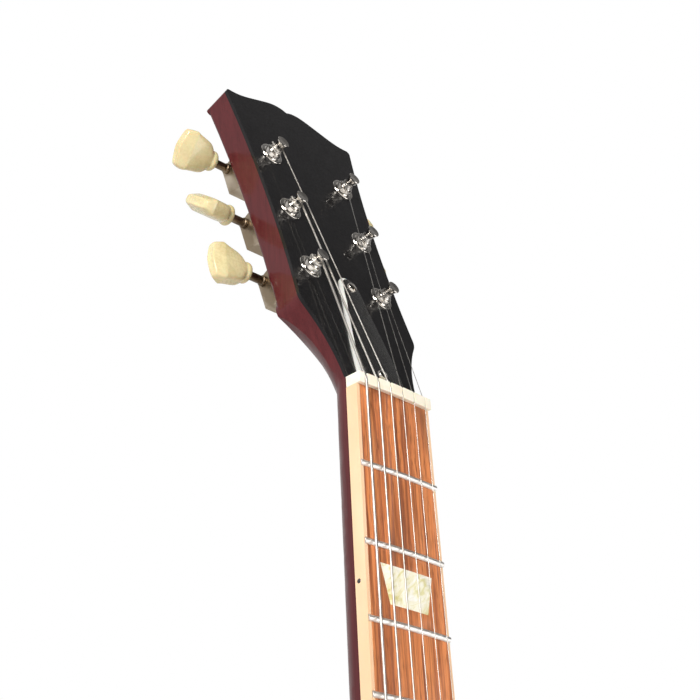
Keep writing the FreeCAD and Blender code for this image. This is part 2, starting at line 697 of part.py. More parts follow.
def make_button(side, row, depth, rise, away):
    name = "button_%s_%d" % (word(side), row + 1)
    half, length, thick = S.button_width / 2, S.button_length, S.button_thickness / 2
    turn = KEY_TURNS[side, row] - (90 if side > 0 else -90)
    front = padded(name + "_front", ((-5.6, 2.2), (-7.6, 6.0), (-half, length - 4), (0, length),
                                     (half, length - 4), (7.6, 6.0), (5.6, 2.2)), 12)
    edge = padded(name + "_edge", ((-thick, 2.2), (-thick, length - 5.5), (-thick + 0.5, length),
                                   (thick - 0.5, length), (thick, length - 5.5), (thick, 2.2)), 24)
    ring = turned(name + "_ring", ((0, 0), (4.2, 0), (5.1, 0.8), (5.3, 1.7), (5.0, 2.6), (4.4, 3.2),
                                   (0, 3.2)))
    for piece, turned_to in ((front, 0), (edge, 90)):
        start = 6 if piece is front else 12
        piece.setExpression("Placement", button_placement(side, depth, rise, turn + turned_to, start))
    place(ring, HEAD, S.button_base * side, depth, rise, away)
    keystone = shared(name + "_keystone", front, edge)
    blank = joined(name + "_blank", [keystone, ring])
    bore = cylinder(name + "_bore", HEAD, (S.button_base - 1) * side, depth, rise, S.shaft_radius, 6,
                    away)
    node(name, cut(name + "_cut", blank, [bore]))


def button_placement(side, depth, rise, turn, start):
    """A drawing whose own +Y runs out along the shaft, its padding centred on the shaft."""
    swing = "create(<<rotation>>; create(<<vector>>; 0; 0; 1); %d)" % (-90 * side)
    spin = "create(<<rotation>>; create(<<vector>>; 0; 1; 0); %f)" % turn
    lift = "create(<<placement>>; create(<<vector>>; 0; 0; -%d); create(<<rotation>>; " \
           "create(<<vector>>; 0; 0; 1); 0))" % start
    return ("head_frame.Placement * create(<<placement>>; create(<<vector>>; %s; %s; %s); %s) "
            "* create(<<placement>>; create(<<vector>>; 0; 0; 0); %s) * %s"
            % ((S.button_base * side).text, depth.text, rise.text, swing, spin, lift))


def make_tuners():
    washers, bushings, housings, screws = [], [], [], []
    for side, row in TUNERS:
        make_post(side, row)
        washer, bushing = make_bushing(side, row)
        washers.append(washer)
        bushings.append(bushing)
        housings.append(make_housing(side, row))
        screws += make_tuner_screws(side, row)
        make_key(side, row)
    node("post_bushings", group("bushing_group", bushings + washers))
    node("tuner_housings", group("housing_group", housings))
    node("tuner_screws", group("tuner_screw_group", screws))


# ---------------------------------------------------------------- strings

def nut_x(index):
    return -SIZES["string_spread_nut"] / 2 + index * SIZES["string_spread_nut"] / 5


def bridge_x(index):
    return -SIZES["string_spread_bridge"] / 2 + index * SIZES["string_spread_bridge"] / 5


def string_y(index, distance):
    """Depth of a string's axis in the neck frame at a distance below the nut."""
    x = nut_x(index)
    surface = -SIZES["crown_rise"] + x * x / (2 * SIZES["board_radius"])
    lift = SIZES["string_lift_nut"] + STRING_RADII[index]
    climb = (SIZES["string_lift_bridge"] - SIZES["string_lift_nut"]) * distance
    return surface - lift - climb / SIZES["scale_length"]


def string_route(index):
    """Corners of a string: tailpiece, saddle, nut, and where it meets its post."""
    neck, head, body = (system.Placement for system in (NECK, HEAD, BODY))
    x, saddle_x = nut_x(index), bridge_x(index)
    saddle = neck.multVec(Vector(saddle_x, string_y(index, SIZES["scale_length"]),
                                 -SIZES["scale_length"]))
    nut = neck.multVec(Vector(x, string_y(index, 0), 2.2))
    anchor = body.multVec(Vector(saddle_x, -39.6, -SIZES["tail_line"] + 7.5))
    ball = body.multVec(Vector(saddle_x, -39.6, -SIZES["tail_line"] - 3.0))
    side, row = (-1, index) if index < 3 else (1, 5 - index)
    post_x, rise = (float(size) for size in post_spot(side, row))
    wrap = 2.45 + STRING_RADII[index] + 0.12
    near = head.inverse().multVec(nut)
    run, drift = rise - near.z, post_x - near.x
    lean = math.atan2(drift, run) - side * math.asin(wrap / math.hypot(run, drift))
    length = math.sqrt(run * run + drift * drift - wrap * wrap)
    end = head.multVec(Vector(near.x + length * math.sin(lean), -4.9, near.z + length * math.cos(lean)))
    return [ball, anchor, saddle, nut, end]


def string_shape(index, margin=0.0):
    """A round string swept along straight runs joined by small arcs."""
    corners = string_route(index)
    bends = [4.0, 2.5, 5.0]
    edges, start = [], corners[0]
    for before, corner, after, radius in zip(corners, corners[1:], corners[2:], bends):
        back, ahead = (before - corner).normalize(), (after - corner).normalize()
        turn = math.pi - back.getAngle(ahead)
        trim = radius * math.tan(turn / 2)
        first, last = corner + back * trim, corner + ahead * trim
        middle_line = (back + ahead).normalize()
        middle = corner + middle_line * (radius / math.cos(turn / 2) - radius)
        edges += [Part.LineSegment(start, first), Part.Arc(first, middle, last)]
        start = last
    edges.append(Part.LineSegment(start, corners[-1]))
    path = Part.Wire([edge.toShape() for edge in edges])
    direction = (corners[1] - corners[0]).normalize()
    circle = Part.Circle(corners[0], direction, STRING_RADII[index] + margin)
    return path.makePipeShell([Part.Wire(circle.toShape())], True, False)


def make_strings():
    solids = []
    for index, radius in enumerate(STRING_RADII):
        wire = made("string_wire_%d" % index, string_shape(index))
        ball = cylinder("ball_end_%d" % index, BODY, bridge_x(index), -39.6,
                        -S.tail_line - 6.4, 1.9, 3.6)
        solids.append(joined("string_%d" % index, [wire, ball]))
    node("wound_strings", group("wound_group", solids[:3]))
    node("plain_strings", group("plain_group", solids[3:]))


# ---------------------------------------------------------------- body

def outline_edges(inset=0.0, trim=0.0):
    """The body's outline, drawn in from its true line by the inset."""
    points = []
    for index, (x, z) in enumerate(OUTLINE):
        before = OUTLINE[max(index - 1, 0)]
        after = OUTLINE[min(index + 1, len(OUTLINE) - 1)]
        run, rise = after[0] - before[0], after[1] - before[1]
        length = math.hypot(run, rise)
        points.append((x - rise / length * inset, z + run / length * inset))
    first, last = points[0], points[-1]
    corner = (last[0] - 12 - trim, first[1])
    return [spline(points), line(last, corner), line(corner, first)]


def carved_dome():
    """The arched top: the outline shrunk about the body's middle, section by section."""
    middle = -SIZES["body_middle"]
    # The closed curve starts at the tail, so that its seam stays clear of the neck joint.
    tail = OUTLINE.index((0, -817))
    ring = OUTLINE[tail:] + ((24, -392), (-2, -384)) + OUTLINE[:tail]
    sections = []
    for share, height in DOME:
        points = [(x * share, middle + (z - middle) * share) for x, z in ring]
        level = -SIZES["rim_plane"] - SIZES["dome_rise"] * height
        curve = Part.BSplineCurve()
        curve.interpolate([Vector(x, level, z) for x, z in points], PeriodicFlag=True)
        sections.append(Part.Wire(curve.toShape()))
    shape = Part.makeLoft(sections, True, False)
    shape.Placement = BODY.Placement
    return made("carved_dome", shape)


def top_level(x, z):
    """Depth of the carved top's surface under a point of the body frame, as a rough height."""
    middle = -SIZES["body_middle"]
    angle = math.atan2(z - middle, x)
    reach = max(math.hypot(px, pz - middle) for px, pz in OUTLINE
                if abs(math.remainder(math.atan2(pz - middle, px) - angle, 2 * math.pi)) < 0.25)
    share = min(math.hypot(x, z - middle) / reach, DOME[0][0])
    for (wide, low), (narrow, high) in zip(DOME, DOME[1:]):
        if share >= narrow:
            height = low + (high - low) * (wide - share) / (wide - narrow)
            return -SIZES["rim_plane"] - SIZES["dome_rise"] * height
    return -SIZES["rim_plane"] - SIZES["dome_rise"]


def upright(edge):
    """True for an edge that runs front to back."""
    return abs(edge.tangentAt(0).y) > 0.9


def body_cutters():
    """What is cut into the body from the front: cavities, the wire channel and post holes."""
    cavities = [box("pickup_cavity", BODY, -35.4, -40, -line_z - 19.6, 70.8, 40, 39.2)
                for line_z in (S.neck_pickup, S.bridge_pickup)]
    channel = box("wire_channel", BODY, 8, -14, -S.bridge_pickup - 60, 14, 12, 150)
    branch = box("wire_branch", BODY, 15, -14, -S.bridge_pickup - 60, 52, 12, 12)
    posts = [cylinder("bridge_post_hole", BODY, S.bridge_post_half * side, -40, -S.bridge_line, 3.0,
                      36, "Y") for side in (-1, 1)]
    studs = [cylinder("stud_hole", BODY, S.tail_stud_half * side, -40, -S.tail_line, 5.5, 36, "Y")
             for side in (-1, 1)]
    return [channel, branch] + cavities + posts + studs


CONTROL = (("neck_volume_knob", 88, -655), ("bridge_volume_knob", 62, -704),
           ("neck_tone_knob", 127, -684), ("bridge_tone_knob", 103, -735))
SWITCH = (-78, -436)
JACK_HEIGHT = -710
CAVITY = ((36, -722), (50, -690), (72, -632), (106, -636), (140, -668), (140, -700), (122, -752),
          (86, -756))


def control_cutters():
    """The control and switch cavities from the back, and the bores that reach them."""
    floor, back_face = -12.0, S.back_thickness - S.rim_plane + S.rim_height
    pocket = padded("control_pocket", CAVITY, back_face - floor + 1)
    place(pocket, BODY, 0, back_face + 1, 0, "-Y")
    wider = [(x + (6 if x > 95 else -6), z + (6 if z > -694 else -6)) for x, z in CAVITY]
    ledge_blank = padded("control_ledge", wider, 3.2)
    place(ledge_blank, BODY, 0, back_face + 1, 0, "-Y")
    ledge = rounded("control_ledge_soft", ledge_blank, 9.2, upright)
    switch = cylinder("switch_pocket", BODY, SWITCH[0], floor, SWITCH[1], 19, 50, "Y")
    switch_ledge = cylinder("switch_ledge", BODY, SWITCH[0], back_face - 2.2, SWITCH[1], 25, 5, "Y")
    bores = [cylinder("pot_bore", BODY, x, -40, z, 4.8, 40, "Y") for name, x, z in CONTROL]
    bores.append(cylinder("switch_bore", BODY, SWITCH[0], -40, SWITCH[1], 6.1, 40, "Y"))
    jack = cylinder("jack_bore", BODY, 120, 6, JACK_HEIGHT, 11, 60, "X")
    seat = box("jack_seat", BODY, 163.2, 6 - 19, JACK_HEIGHT - 19, 10, 38, 38)
    return [pocket, ledge, switch, switch_ledge, jack, seat] + bores


def make_body():
    back_face = S.back_thickness - S.rim_plane + S.rim_height
    cutters = body_cutters() + control_cutters() + [rod_way("body_rod_way")]
    cutters += [cylinder("strap_hole", BODY, 0, 4, -818, 1.9, 26, "Z"),
                cylinder("strap_hole", BODY, -60, 4, -378, 1.9, 26, "-Z")]
    blank = outlined("back_blank", outline_edges(), S.back_thickness)
    place(blank, BODY, 0, back_face, 0, "-Y")
    heel = nodes["neck"]
    soft = rounded("back_soft", blank, 4.0, lambda edge: edge.Length > 900 and
                   edge.CenterOfMass.y > 0)
    node("body_back", cut_in_turn("back_cut", soft, [heel] + cutters))
    rim = outlined("rim_blank", outline_edges(1.6, 1.6), S.rim_height)
    place(rim, BODY, 0, S.rim_height - S.rim_plane, 0, "-Y")
    top = joined("top_blank", [rim, carved_dome()])
    node("body_top", cut_in_turn("top_cut", top, [heel] + cutters))
    outer = outlined("binding_outer", outline_edges(), S.rim_height)
    inner = outlined("binding_inner", outline_edges(1.6, 1.6), S.rim_height + 2)
    place(outer, BODY, 0, S.rim_height - S.rim_plane, 0, "-Y")
    place(inner, BODY, 0, S.rim_height - S.rim_plane + 1, 0, "-Y")
    wide_neck = board_slab("neck_way", -0.2, -20, 60, S.board_length)
    seat = box("binding_jack_seat", BODY, 163.2, -13, JACK_HEIGHT - 19, 10, 38, 38)
    node("body_binding", cut("body_binding_cut", outer, [inner, wide_neck, seat]))


# ---------------------------------------------------------------- bridge and tailpiece

def make_bridge():
    line_z, top_face = -S.bridge_line, -46.2
    bar = box("bridge_bar", BODY, -40, top_face, line_z - 5.5, 80, 8.2, 11)
    ends = [cylinder("bridge_end", BODY, 40 * side, top_face, line_z, 5.5, 8.2, "Y")
            for side in (-1, 1)]
    trough = box("bridge_trough", BODY, -30, top_face - 1, line_z - 3.7, 60, 6, 7.4)
    sockets = [cylinder("bridge_socket", BODY, S.bridge_post_half * side, top_face - 1, line_z, 3.1,
                        12, "Y") for side in (-1, 1)]
    saddles, screws, ways = [], [], []
    for index in range(6):
        x = bridge_x(index)
        ways.append(cylinder("saddle_screw_way", BODY, x, -43.4, line_z - 7, 1.3, 14, "Z"))
        saddles.append(make_saddle(index, x, line_z))
        screw = turned("saddle_screw", ((0, -11), (1.25, -11), (1.25, 0), (2.3, 0), (2.3, 1.4),
                                        (0, 1.4)))
        screws.append(place(screw, BODY, x, -43.4, line_z + 5.5, "Z"))
    node("bridge_base", cut("bridge_cut", joined("bridge_blank", [bar] + ends),
                            [trough] + sockets + ways))
    node("bridge_saddles", group("saddle_group", saddles + screws))
    posts = []
    for side in (-1, 1):
        post = turned("bridge_post", ((0, 0), (2.95, 0), (2.95, 30.3), (7, 30.3), (7, 32.4),
                                      (2.95, 32.4), (2.95, 39.5), (2.4, 40), (0, 40)))
        place(post, BODY, S.bridge_post_half * side, -5.6, line_z, "-Y")
        posts.append(post)
    node("bridge_posts", group("bridge_post_group", posts))


def make_saddle(index, x, line_z):
    """A brass wedge that stands in the trough with a notch for its string."""
    drawing = ((-41.2, -3.6), (-46.5, -3.6), (-49.6, -0.4), (-49.6, 0.4), (-46.5, 3.6), (-41.2, 3.6))
    wedge = padded("saddle_wedge", drawing, 6.6)
    wedge.setExpression("Placement", "body_frame.Placement * create(<<placement>>; "
                        "create(<<vector>>; %f; 0; %s); create(<<rotation>>; "
                        "create(<<vector>>; 1; 1; 1); 120))" % (x - 3.3, line_z.text))
    way = cylinder("saddle_way", BODY, x, -43.4, line_z - 7, 1.26, 14, "Z")
    radius = STRING_RADII[index]
    notch = made("saddle_notch", string_shape(index, 0.02))
    gap = box("saddle_gap", BODY, x - radius - 0.02, -53, line_z - 5, 2 * radius + 0.04, 4, 10)
    return cut("saddle_cut_%d" % index, wedge, [way, notch, gap])


def make_tailpiece():
    line_z, front = -S.tail_line, -45.6
    section = ((front + 1.5, -7), (front, -4.5), (front, 4.5), (front + 1.5, 7), (front + 6.0, 8),
               (front + 10.4, 7), (front + 10.4, -7), (front + 6.0, -8))
    bar = padded("tail_bar", section, 100)
    bar.setExpression("Placement", "body_frame.Placement * create(<<placement>>; "
                      "create(<<vector>>; -50; 0; %s); create(<<rotation>>; "
                      "create(<<vector>>; 1; 1; 1); 120))" % line_z.text)
    tools = []
    for side in (-1, 1):
        tools.append(cylinder("stud_way", BODY, S.tail_stud_half * side, front - 1, line_z, 4.0, 14, "Y"))
        tools.append(box("stud_slot", BODY, S.tail_stud_half * side - 4, front - 1, line_z, 8, 14, 10))
        tools.append(cylinder("stud_seat", BODY, S.tail_stud_half * side, front - 1, line_z, 7.4, 3.4, "Y"))
    for index in range(6):
        x = bridge_x(index)
        tools.append(cylinder("string_way", BODY, x, -39.6, line_z - 10, 1.1, 20, "Z"))
        tools.append(cylinder("ball_way", BODY, x, -39.6, line_z - 10, 2.1, 7.2, "Z"))
        tools.append(made("string_exit", string_shape(index, 0.2)))
    node("tailpiece", cut("tail_cut", bar, tools))
    studs = []
    for side in (-1, 1):
        stud = turned("stud", ((0, 0), (5.4, 0), (5.4, 14.2), (8.5, 14.2), (8.5, 15.8), (3.8, 15.8),
                               (3.8, 24.2), (7.2, 24.2), (7.2, 26.4), (6.2, 27.2), (0, 27.2)))
        place(stud, BODY, S.tail_stud_half * side, -19.2, line_z, "-Y")
        slot = box("stud_slot_cut", BODY, S.tail_stud_half * side - 8, -47.5, line_z - 0.7, 16, 2.4, 1.4)
        studs.append(cut("stud_cut", stud, [slot]))
    node("tailpiece_studs", group("stud_group", studs))


# ---------------------------------------------------------------- pickups, pickguard, controls

def make_pickups():
    rings, covers, coils, magnets, screws = [], [], [], [], []
    for line_z, ring_front, cover_front in ((-S.neck_pickup, -31.4, -35.4),
                                            (-S.bridge_pickup, -39.0, -44.4)):
        rings.append(make_ring(line_z, ring_front))
        width, height = S.pickup_width, S.pickup_height
        shell = box("cover_shell", BODY, -width / 2, cover_front, line_z - height / 2, width, 16, height)
        soft = rounded("cover_soft", shell, 3.0, upright)
        hollow = box("cover_hollow", BODY, -width / 2 + 0.7, cover_front + 0.7,
                     line_z - height / 2 + 0.7, width - 1.4, 16, height - 1.4)
        poles = [cylinder("pole_way", BODY, bridge_x(index) * 0.98, cover_front - 1, line_z + 9, 2.45,
                          4, "Y") for index in range(6)]
        covers.append(cut("cover_cut", soft, [hollow] + poles))
        for offset in (9, -9):
            coil = box("coil", BODY, -32, cover_front + 1.6, line_z + offset - 8.2, 64, 9.6, 16.4)
            way = [cylinder("pole_bore", BODY, bridge_x(index) * 0.98, cover_front, line_z + offset,
                            1.6, 14, "Y") for index in range(6)]
            coils.append(cut("coil_cut", coil, way))
        magnets.append(box("magnet", BODY, -31, cover_front + 11.3, line_z - 6, 62, 3.2, 12))
        for index in range(6):
            screw = turned("pole_screw", ((0, -11), (1.5, -11), (1.5, -1), (2.4, -0.6), (2.4, 0.6),
                                          (1.8, 1.0), (0, 1.1)))
            place(screw, BODY, bridge_x(index) * 0.98, cover_front + 0.4, line_z + 9, "-Y")
            screws.append(screw)
    node("pickup_rings", group("ring_group", rings))
    node("pickup_covers", group("cover_group", covers))
    node("pickup_coils", group("coil_group", coils + magnets))
    node("pole_screws", group("pole_screw_group", screws))


def make_ring(line_z, front):
    """A mounting ring whose underside follows the carved top."""
    blank = box("ring_blank", BODY, -44.2, front, line_z - 22.3, 88.4, 16, 44.6)
    soft = rounded("ring_soft", blank, 3.0, upright)
    window = box("ring_window", BODY, -35.6, front - 1, line_z - 19.8, 71.2, 20, 39.6)
    return cut("ring_cut", cut("ring_open", soft, [window]), [nodes["body_top"]])


def make_controls():
    pots = []
    for name, x, z in CONTROL:
        rest = min(top_level(x + 12 * step, z + 12 * rise) for step in (-1, 0, 1)
                   for rise in (-1, 0, 1)) - 1.2
        knob = turned(name + "_turned", ((3.0, 0), (13.2, 0), (13.2, 3.6), (11.2, 5.2), (9.6, 13.6),
                                         (8.6, 14.4), (0, 14.4), (0, 11), (3.0, 11)))
        place(knob, BODY, x, rest, z, "-Y")
        spindle = cylinder(name + "_spindle", BODY, x, -3.0, z, 3.0, -rest + 11 - 3.0, "-Y")
        node(name, group(name + "_group", [knob, spindle]))
        case = cylinder("pot_case", BODY, x, -11.5, z, 11.8, 9, "Y")
        sleeve = cylinder("pot_sleeve", BODY, x, -9, z, 4.7, -rest - 10.2, "-Y")
        bore = cylinder("pot_spindle_way", BODY, x, 0, z, 3.0 + S.running_gap, 40, "-Y")
        pots.append(cut("pot_cut", joined("pot_blank", [case, sleeve]), [bore]))
    node("control_pots", group("pot_group", pots))
    make_switch()


def make_switch():
    x, z = SWITCH
    face = top_level(x, z) - 1.0
    sleeve = cylinder("switch_sleeve", BODY, x, -11, z, 6.0, -face - 11 + 4.0, "-Y")
    frame_box = box("switch_frame", BODY, x - 8, -11.5, z - 14, 16, 20, 28)
    way = primitive("Cone", "switch_way", Radius1=2.4, Radius2=4.9, Height=9)
    place(way, BODY, x, face + 4.9, z, "-Y")
    slot = box("switch_slot", BODY, x - 2.2, face + 4.0, z - 6, 4.4, 24, 12)
    pin_way = cylinder("lever_pin_way", BODY, x - 5, face + 4.9, z, 1.0 + S.running_gap, 10, "X")
    node("switch_body", cut("switch_cut", joined("switch_blank", [frame_box, sleeve]),
                            [way, slot, pin_way]))
    ring = turned("switch_ring_turned", ((6.1, 0), (19, 0), (19, 1.2), (18, 1.8), (6.1, 1.8)))
    node("switch_ring", place(ring, BODY, x, face - 0.9, z, "-Y"))
    lever = turned("switch_lever_turned", ((0, -6), (1.6, -6), (1.6, 12), (1.2, 20), (0, 20)))
    place(lever, BODY, x, face + 4.9, z, "-Y")
    tip = turned("switch_tip_turned", ((1.6, 12), (3.1, 12), (4.2, 20), (3.2, 22.4), (0, 23), (0, 20),
                                       (1.2, 20)))
    place(tip, BODY, x, face + 4.9, z, "-Y")
    pin = cylinder("lever_pin", BODY, x - 4.8, face + 4.9, z, 1.0, 9.6, "X")
    node("toggle_lever", group("lever_group", [joined("lever_pinned", [lever, pin]), tip]))


def make_trim():
    guard = padded("guard_blank", ((45.5, -461), (58, -461), (72, -492), (88, -530), (91, -560),
                                   (77, -590), (45.5, -592), (45.5, -572), (31, -571.5), (31, -509),
                                   (45.5, -507)), 2.4)
    node("pickguard", place(guard, BODY, 0, -33.6, 0, "-Y"))
    back_face = S.back_thickness - S.rim_plane + S.rim_height
    wider = [(x + (5.8 if x > 95 else -5.8), z + (5.8 if z > -694 else -5.8)) for x, z in CAVITY]
    lid = padded("control_lid", wider, 2.0)
    place(lid, BODY, 0, back_face - 0.2, 0, "-Y")
    lid = rounded("control_lid_soft", lid, 9.0, upright)
    switch_lid = cylinder("switch_lid", BODY, SWITCH[0], back_face - 2.2, SWITCH[1], 24.8, 2.0, "Y")
    node("back_covers", group("back_cover_group", [lid, switch_lid]))
    plate = box("jack_plate_blank", BODY, 163.2, -11.5, JACK_HEIGHT - 17.5, 2.0, 35, 35)
    soft = rounded("jack_plate_soft", plate, 4.0, lambda edge: abs(edge.tangentAt(0).x) > 0.9)
    way = cylinder("jack_plate_way", BODY, 160, 6, JACK_HEIGHT, 4.8, 10, "X")
    screws, ways = [], []
    for across in (-13.5, 13.5):
        for up in (-13.5, 13.5):
            ways.append(cylinder("plate_screw_way", BODY, 150, 6 + across, JACK_HEIGHT + up, 1.4, 20, "X"))
            screw = turned("plate_screw", ((0, -1.9), (1.35, -1.9), (1.35, 0), (2.6, 0), (2.0, 1.0), (0, 1.3)))
            screws.append(place(screw, BODY, 165.2, 6 + across, JACK_HEIGHT + up, "X"))
    node("jack_plate", cut("jack_plate_cut", soft, [way] + ways))
    node("cover_screws", group("cover_screw_group", fasteners + screws))
    barrel = cylinder("jack_barrel", BODY, 136, 6, JACK_HEIGHT, 4.7, 31.5, "X")
    shoulder = cylinder("jack_shoulder", BODY, 155, 6, JACK_HEIGHT, 8.5, 8.2, "X")
    nut = hexagon("jack_nut", BODY, 165.2, 6, JACK_HEIGHT, 12.7, 2.2, "X")
    bore = cylinder("jack_way", BODY, 130, 6, JACK_HEIGHT, S.jack_radius, 45, "X")
    node("output_jack", cut("jack_cut", joined("jack_blank", [barrel, shoulder, nut]), [bore]))
    buttons, strap_screws = [], []
    for x, z, away in ((0, -817, "-Z"), (-60, -378.6, "Z")):
        button = turned("strap_button", ((2.0, 0), (6.5, 0), (4.4, 4.0), (4.4, 7.5), (7.2, 9.6), (7.2, 11),
                                         (6.2, 11.8), (2.0, 11.8)))
        buttons.append(place(button, BODY, x, 4, z, away))
        screw = turned("strap_screw", ((0, -22), (1.85, -18), (1.85, 11.8), (3.8, 11.8), (3.0, 13.2), (0, 13.8)))
        strap_screws.append(place(screw, BODY, x, 4, z, away))
    node("strap_buttons", group("strap_button_group", buttons + strap_screws))


# ---------------------------------------------------------------- build and write

make_fretboard()
make_neck()
make_nut()
make_headplate()
make_truss_rod()
make_tuners()
make_strings()
make_body()
make_bridge()
make_tailpiece()
make_pickups()
make_controls()
make_trim()
doc.recompute()

failed = [item.Name for item in doc.Objects if {"Invalid", "Error"} & set(item.State)]
if failed:
    raise RuntimeError("these objects did not build: %s" % failed)
for name, thing in nodes.items():
    if thing.Shape.isNull() or not thing.Shape.isValid() or not thing.Shape.Solids:
        raise RuntimeError("%s has no valid solid" % name)

os.makedirs("parts", exist_ok=True)
for name, thing in nodes.items():
    thing.Shape.exportStep("parts/%s.step" % name)
print("%d nodes, %d solids" % (len(nodes), sum(len(thing.Shape.Solids) for thing in nodes.values())))
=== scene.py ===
"""The looks of a single-cutaway electric guitar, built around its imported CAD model.

Everything is in metres in the part's own frame: +Z runs up the strings to the headstock, -Y points
out of the front, +X to the treble side. The headstock, the neck and the body each have a frame of their
own, drawn in millimetres, as in the CAD source.
"""
import math

import bmesh
import bpy
from mathutils import Matrix, Vector


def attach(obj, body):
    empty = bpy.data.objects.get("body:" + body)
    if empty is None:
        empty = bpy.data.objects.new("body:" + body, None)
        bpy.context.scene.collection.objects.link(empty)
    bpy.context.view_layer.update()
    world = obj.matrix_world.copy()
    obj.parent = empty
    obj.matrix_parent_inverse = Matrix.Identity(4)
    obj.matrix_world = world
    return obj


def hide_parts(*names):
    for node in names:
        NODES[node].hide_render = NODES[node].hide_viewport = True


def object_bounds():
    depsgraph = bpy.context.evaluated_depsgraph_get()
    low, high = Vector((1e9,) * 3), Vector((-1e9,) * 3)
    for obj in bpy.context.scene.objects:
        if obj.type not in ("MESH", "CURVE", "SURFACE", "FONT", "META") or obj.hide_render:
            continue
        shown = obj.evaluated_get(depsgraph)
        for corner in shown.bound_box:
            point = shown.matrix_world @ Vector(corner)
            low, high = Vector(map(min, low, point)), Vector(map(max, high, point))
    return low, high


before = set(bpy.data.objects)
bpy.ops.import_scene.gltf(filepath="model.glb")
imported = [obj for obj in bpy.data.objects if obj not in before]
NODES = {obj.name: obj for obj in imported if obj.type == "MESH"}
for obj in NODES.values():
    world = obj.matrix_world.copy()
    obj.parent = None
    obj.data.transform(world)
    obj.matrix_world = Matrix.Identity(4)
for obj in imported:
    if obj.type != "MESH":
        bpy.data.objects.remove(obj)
CAD_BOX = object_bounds()
MM = 0.001

NECK = Matrix.Translation((0, -0.019, -0.029))
HEAD = Matrix.Translation((0, -0.014, -0.024)) @ Matrix.Rotation(math.radians(-16.5), 4, "X")
BODY = Matrix.Translation((0, -0.019, -0.029)) @ Matrix.Rotation(math.radians(4), 4, "X")

# Sizes in millimetres, as in the CAD source.
STRING_RADII = (0.585, 0.457, 0.33, 0.216, 0.165, 0.127)
STRING_SPREAD = 35.6
STRING_LIFT = 1.35
NUT_MIDDLE = 2.2
BOARD_CROWN = 0.76
BOARD_RADIUS = 304.8
HEAD_THICKNESS = 14.8
POST_HALF = 22.0
POST_FLARE = 0.5
POST_LOW = 62.4
POST_SPACING = 36.0
WORM_DEPTH = 6.2
WORM_OFFSET = 6.2
BUTTON_START = 39.0
WRAP_RADIUS = 2.45
WRAP_GAP = 0.12
GEAR_RADIUS = 4.0
GEAR_WIDTH = 3.3
KNOB_HEIGHT = 14.4
COVER_THICKNESS = 2.0
GUARD_BACK = -33.6
GUARD_FRONT = -36.0
LID_FACE = 28.75
# On the body: x and z of the switch and the knobs, the middle z of each pickup and its ring's front y.
SWITCH = (-78, -436)
PICKUPS = ((-483, -31.4), (-596, -39.0))
KNOBS = {"neck_volume_knob": (88, -655), "bridge_volume_knob": (62, -704),
         "neck_tone_knob": (127, -684), "bridge_tone_knob": (103, -735)}

TUNERS = [(side, row) for side in (-1, 1) for row in (0, 1, 2)]
# How far each tuner's button has been turned, from lying along the headstock towards the back.
KEY_TURNS = {(-1, 0): -12, (-1, 1): 36, (-1, 2): -54, (1, 0): 20, (1, 1): -35, (1, 2): 70}


# ---------------------------------------------------------------- camera, light and floor

def make_camera():
    """A long lens below the headstock on the bass side, looking up at it."""
    lens = bpy.data.cameras.new("camera")
    lens.lens = 87.14
    lens.sensor_width = 36
    lens.clip_start = 0.01
    lens.clip_end = 50
    camera = bpy.data.objects.new("camera", lens)
    bpy.context.scene.collection.objects.link(camera)
    forward = Vector((0.642988, 0.60634, 0.467886)).normalized()
    right = Vector((0.705522, -0.706642, -0.053812)).normalized()
    up = right.cross(forward)
    turned = Matrix((right, up, -forward)).transposed().to_4x4()
    camera.matrix_world = Matrix.Translation((-0.46973, -0.43920, -0.33918)) @ turned
    bpy.context.scene.camera = camera


def make_light(name, place, target, size, power, color):
    """A round area lamp aimed at a target."""
    lamp = bpy.data.lights.new(name, "AREA")
    lamp.shape = "DISK"
    lamp.size = size
    lamp.energy = power
    lamp.color = color
    holder = bpy.data.objects.new(name, lamp)
    bpy.context.scene.collection.objects.link(holder)
    holder.location = place
    holder.rotation_euler = (Vector(target) - Vector(place)).to_track_quat("-Z", "Y").to_euler()


def make_world():
    """A bright wall behind the instrument and a dim room in front of it, against a white background."""
    world = bpy.data.worlds.new("studio")
    bpy.context.scene.world = world
    world.use_nodes = True
    tree = world.node_tree
    tree.nodes.clear()
    output = tree.nodes.new("ShaderNodeOutputWorld")
    room = tree.nodes.new("ShaderNodeBackground")
    plain = tree.nodes.new("ShaderNodeBackground")
    choose = tree.nodes.new("ShaderNodeMixShader")
    seen = tree.nodes.new("ShaderNodeLightPath")
    place = tree.nodes.new("ShaderNodeTexCoord")
    split = tree.nodes.new("ShaderNodeSeparateXYZ")
    level = tree.nodes.new("ShaderNodeMix")
    tree.links.new(place.outputs["Generated"], split.inputs[0])
    # How bright the room is from front to back: first as it lights matt surfaces, then in reflections.
    for socket, low, high, dim, bright in ((2, -0.75, 0.35, 0.2, 0.95), (3, -0.3, 0.3, 0.03, 0.7)):
        ramp = tree.nodes.new("ShaderNodeMapRange")
        tree.links.new(split.outputs["Y"], ramp.inputs["Value"])
        ramp.inputs["From Min"].default_value = low
        ramp.inputs["From Max"].default_value = high
        ramp.inputs["To Min"].default_value = dim
        ramp.inputs["To Max"].default_value = bright
        tree.links.new(ramp.outputs["Result"], level.inputs[socket])
    tree.links.new(seen.outputs["Is Glossy Ray"], level.inputs[0])
    tree.links.new(level.outputs[0], room.inputs["Strength"])
    room.inputs["Color"].default_value = (1, 0.985, 0.97, 1)
    plain.inputs["Color"].default_value = (1, 1, 1, 1)
    plain.inputs["Strength"].default_value = 1.0
    tree.links.new(seen.outputs["Is Camera Ray"], choose.inputs[0])
    tree.links.new(room.outputs[0], choose.inputs[1])
    tree.links.new(plain.outputs[0], choose.inputs[2])
    tree.links.new(choose.outputs[0], output.inputs["Surface"])


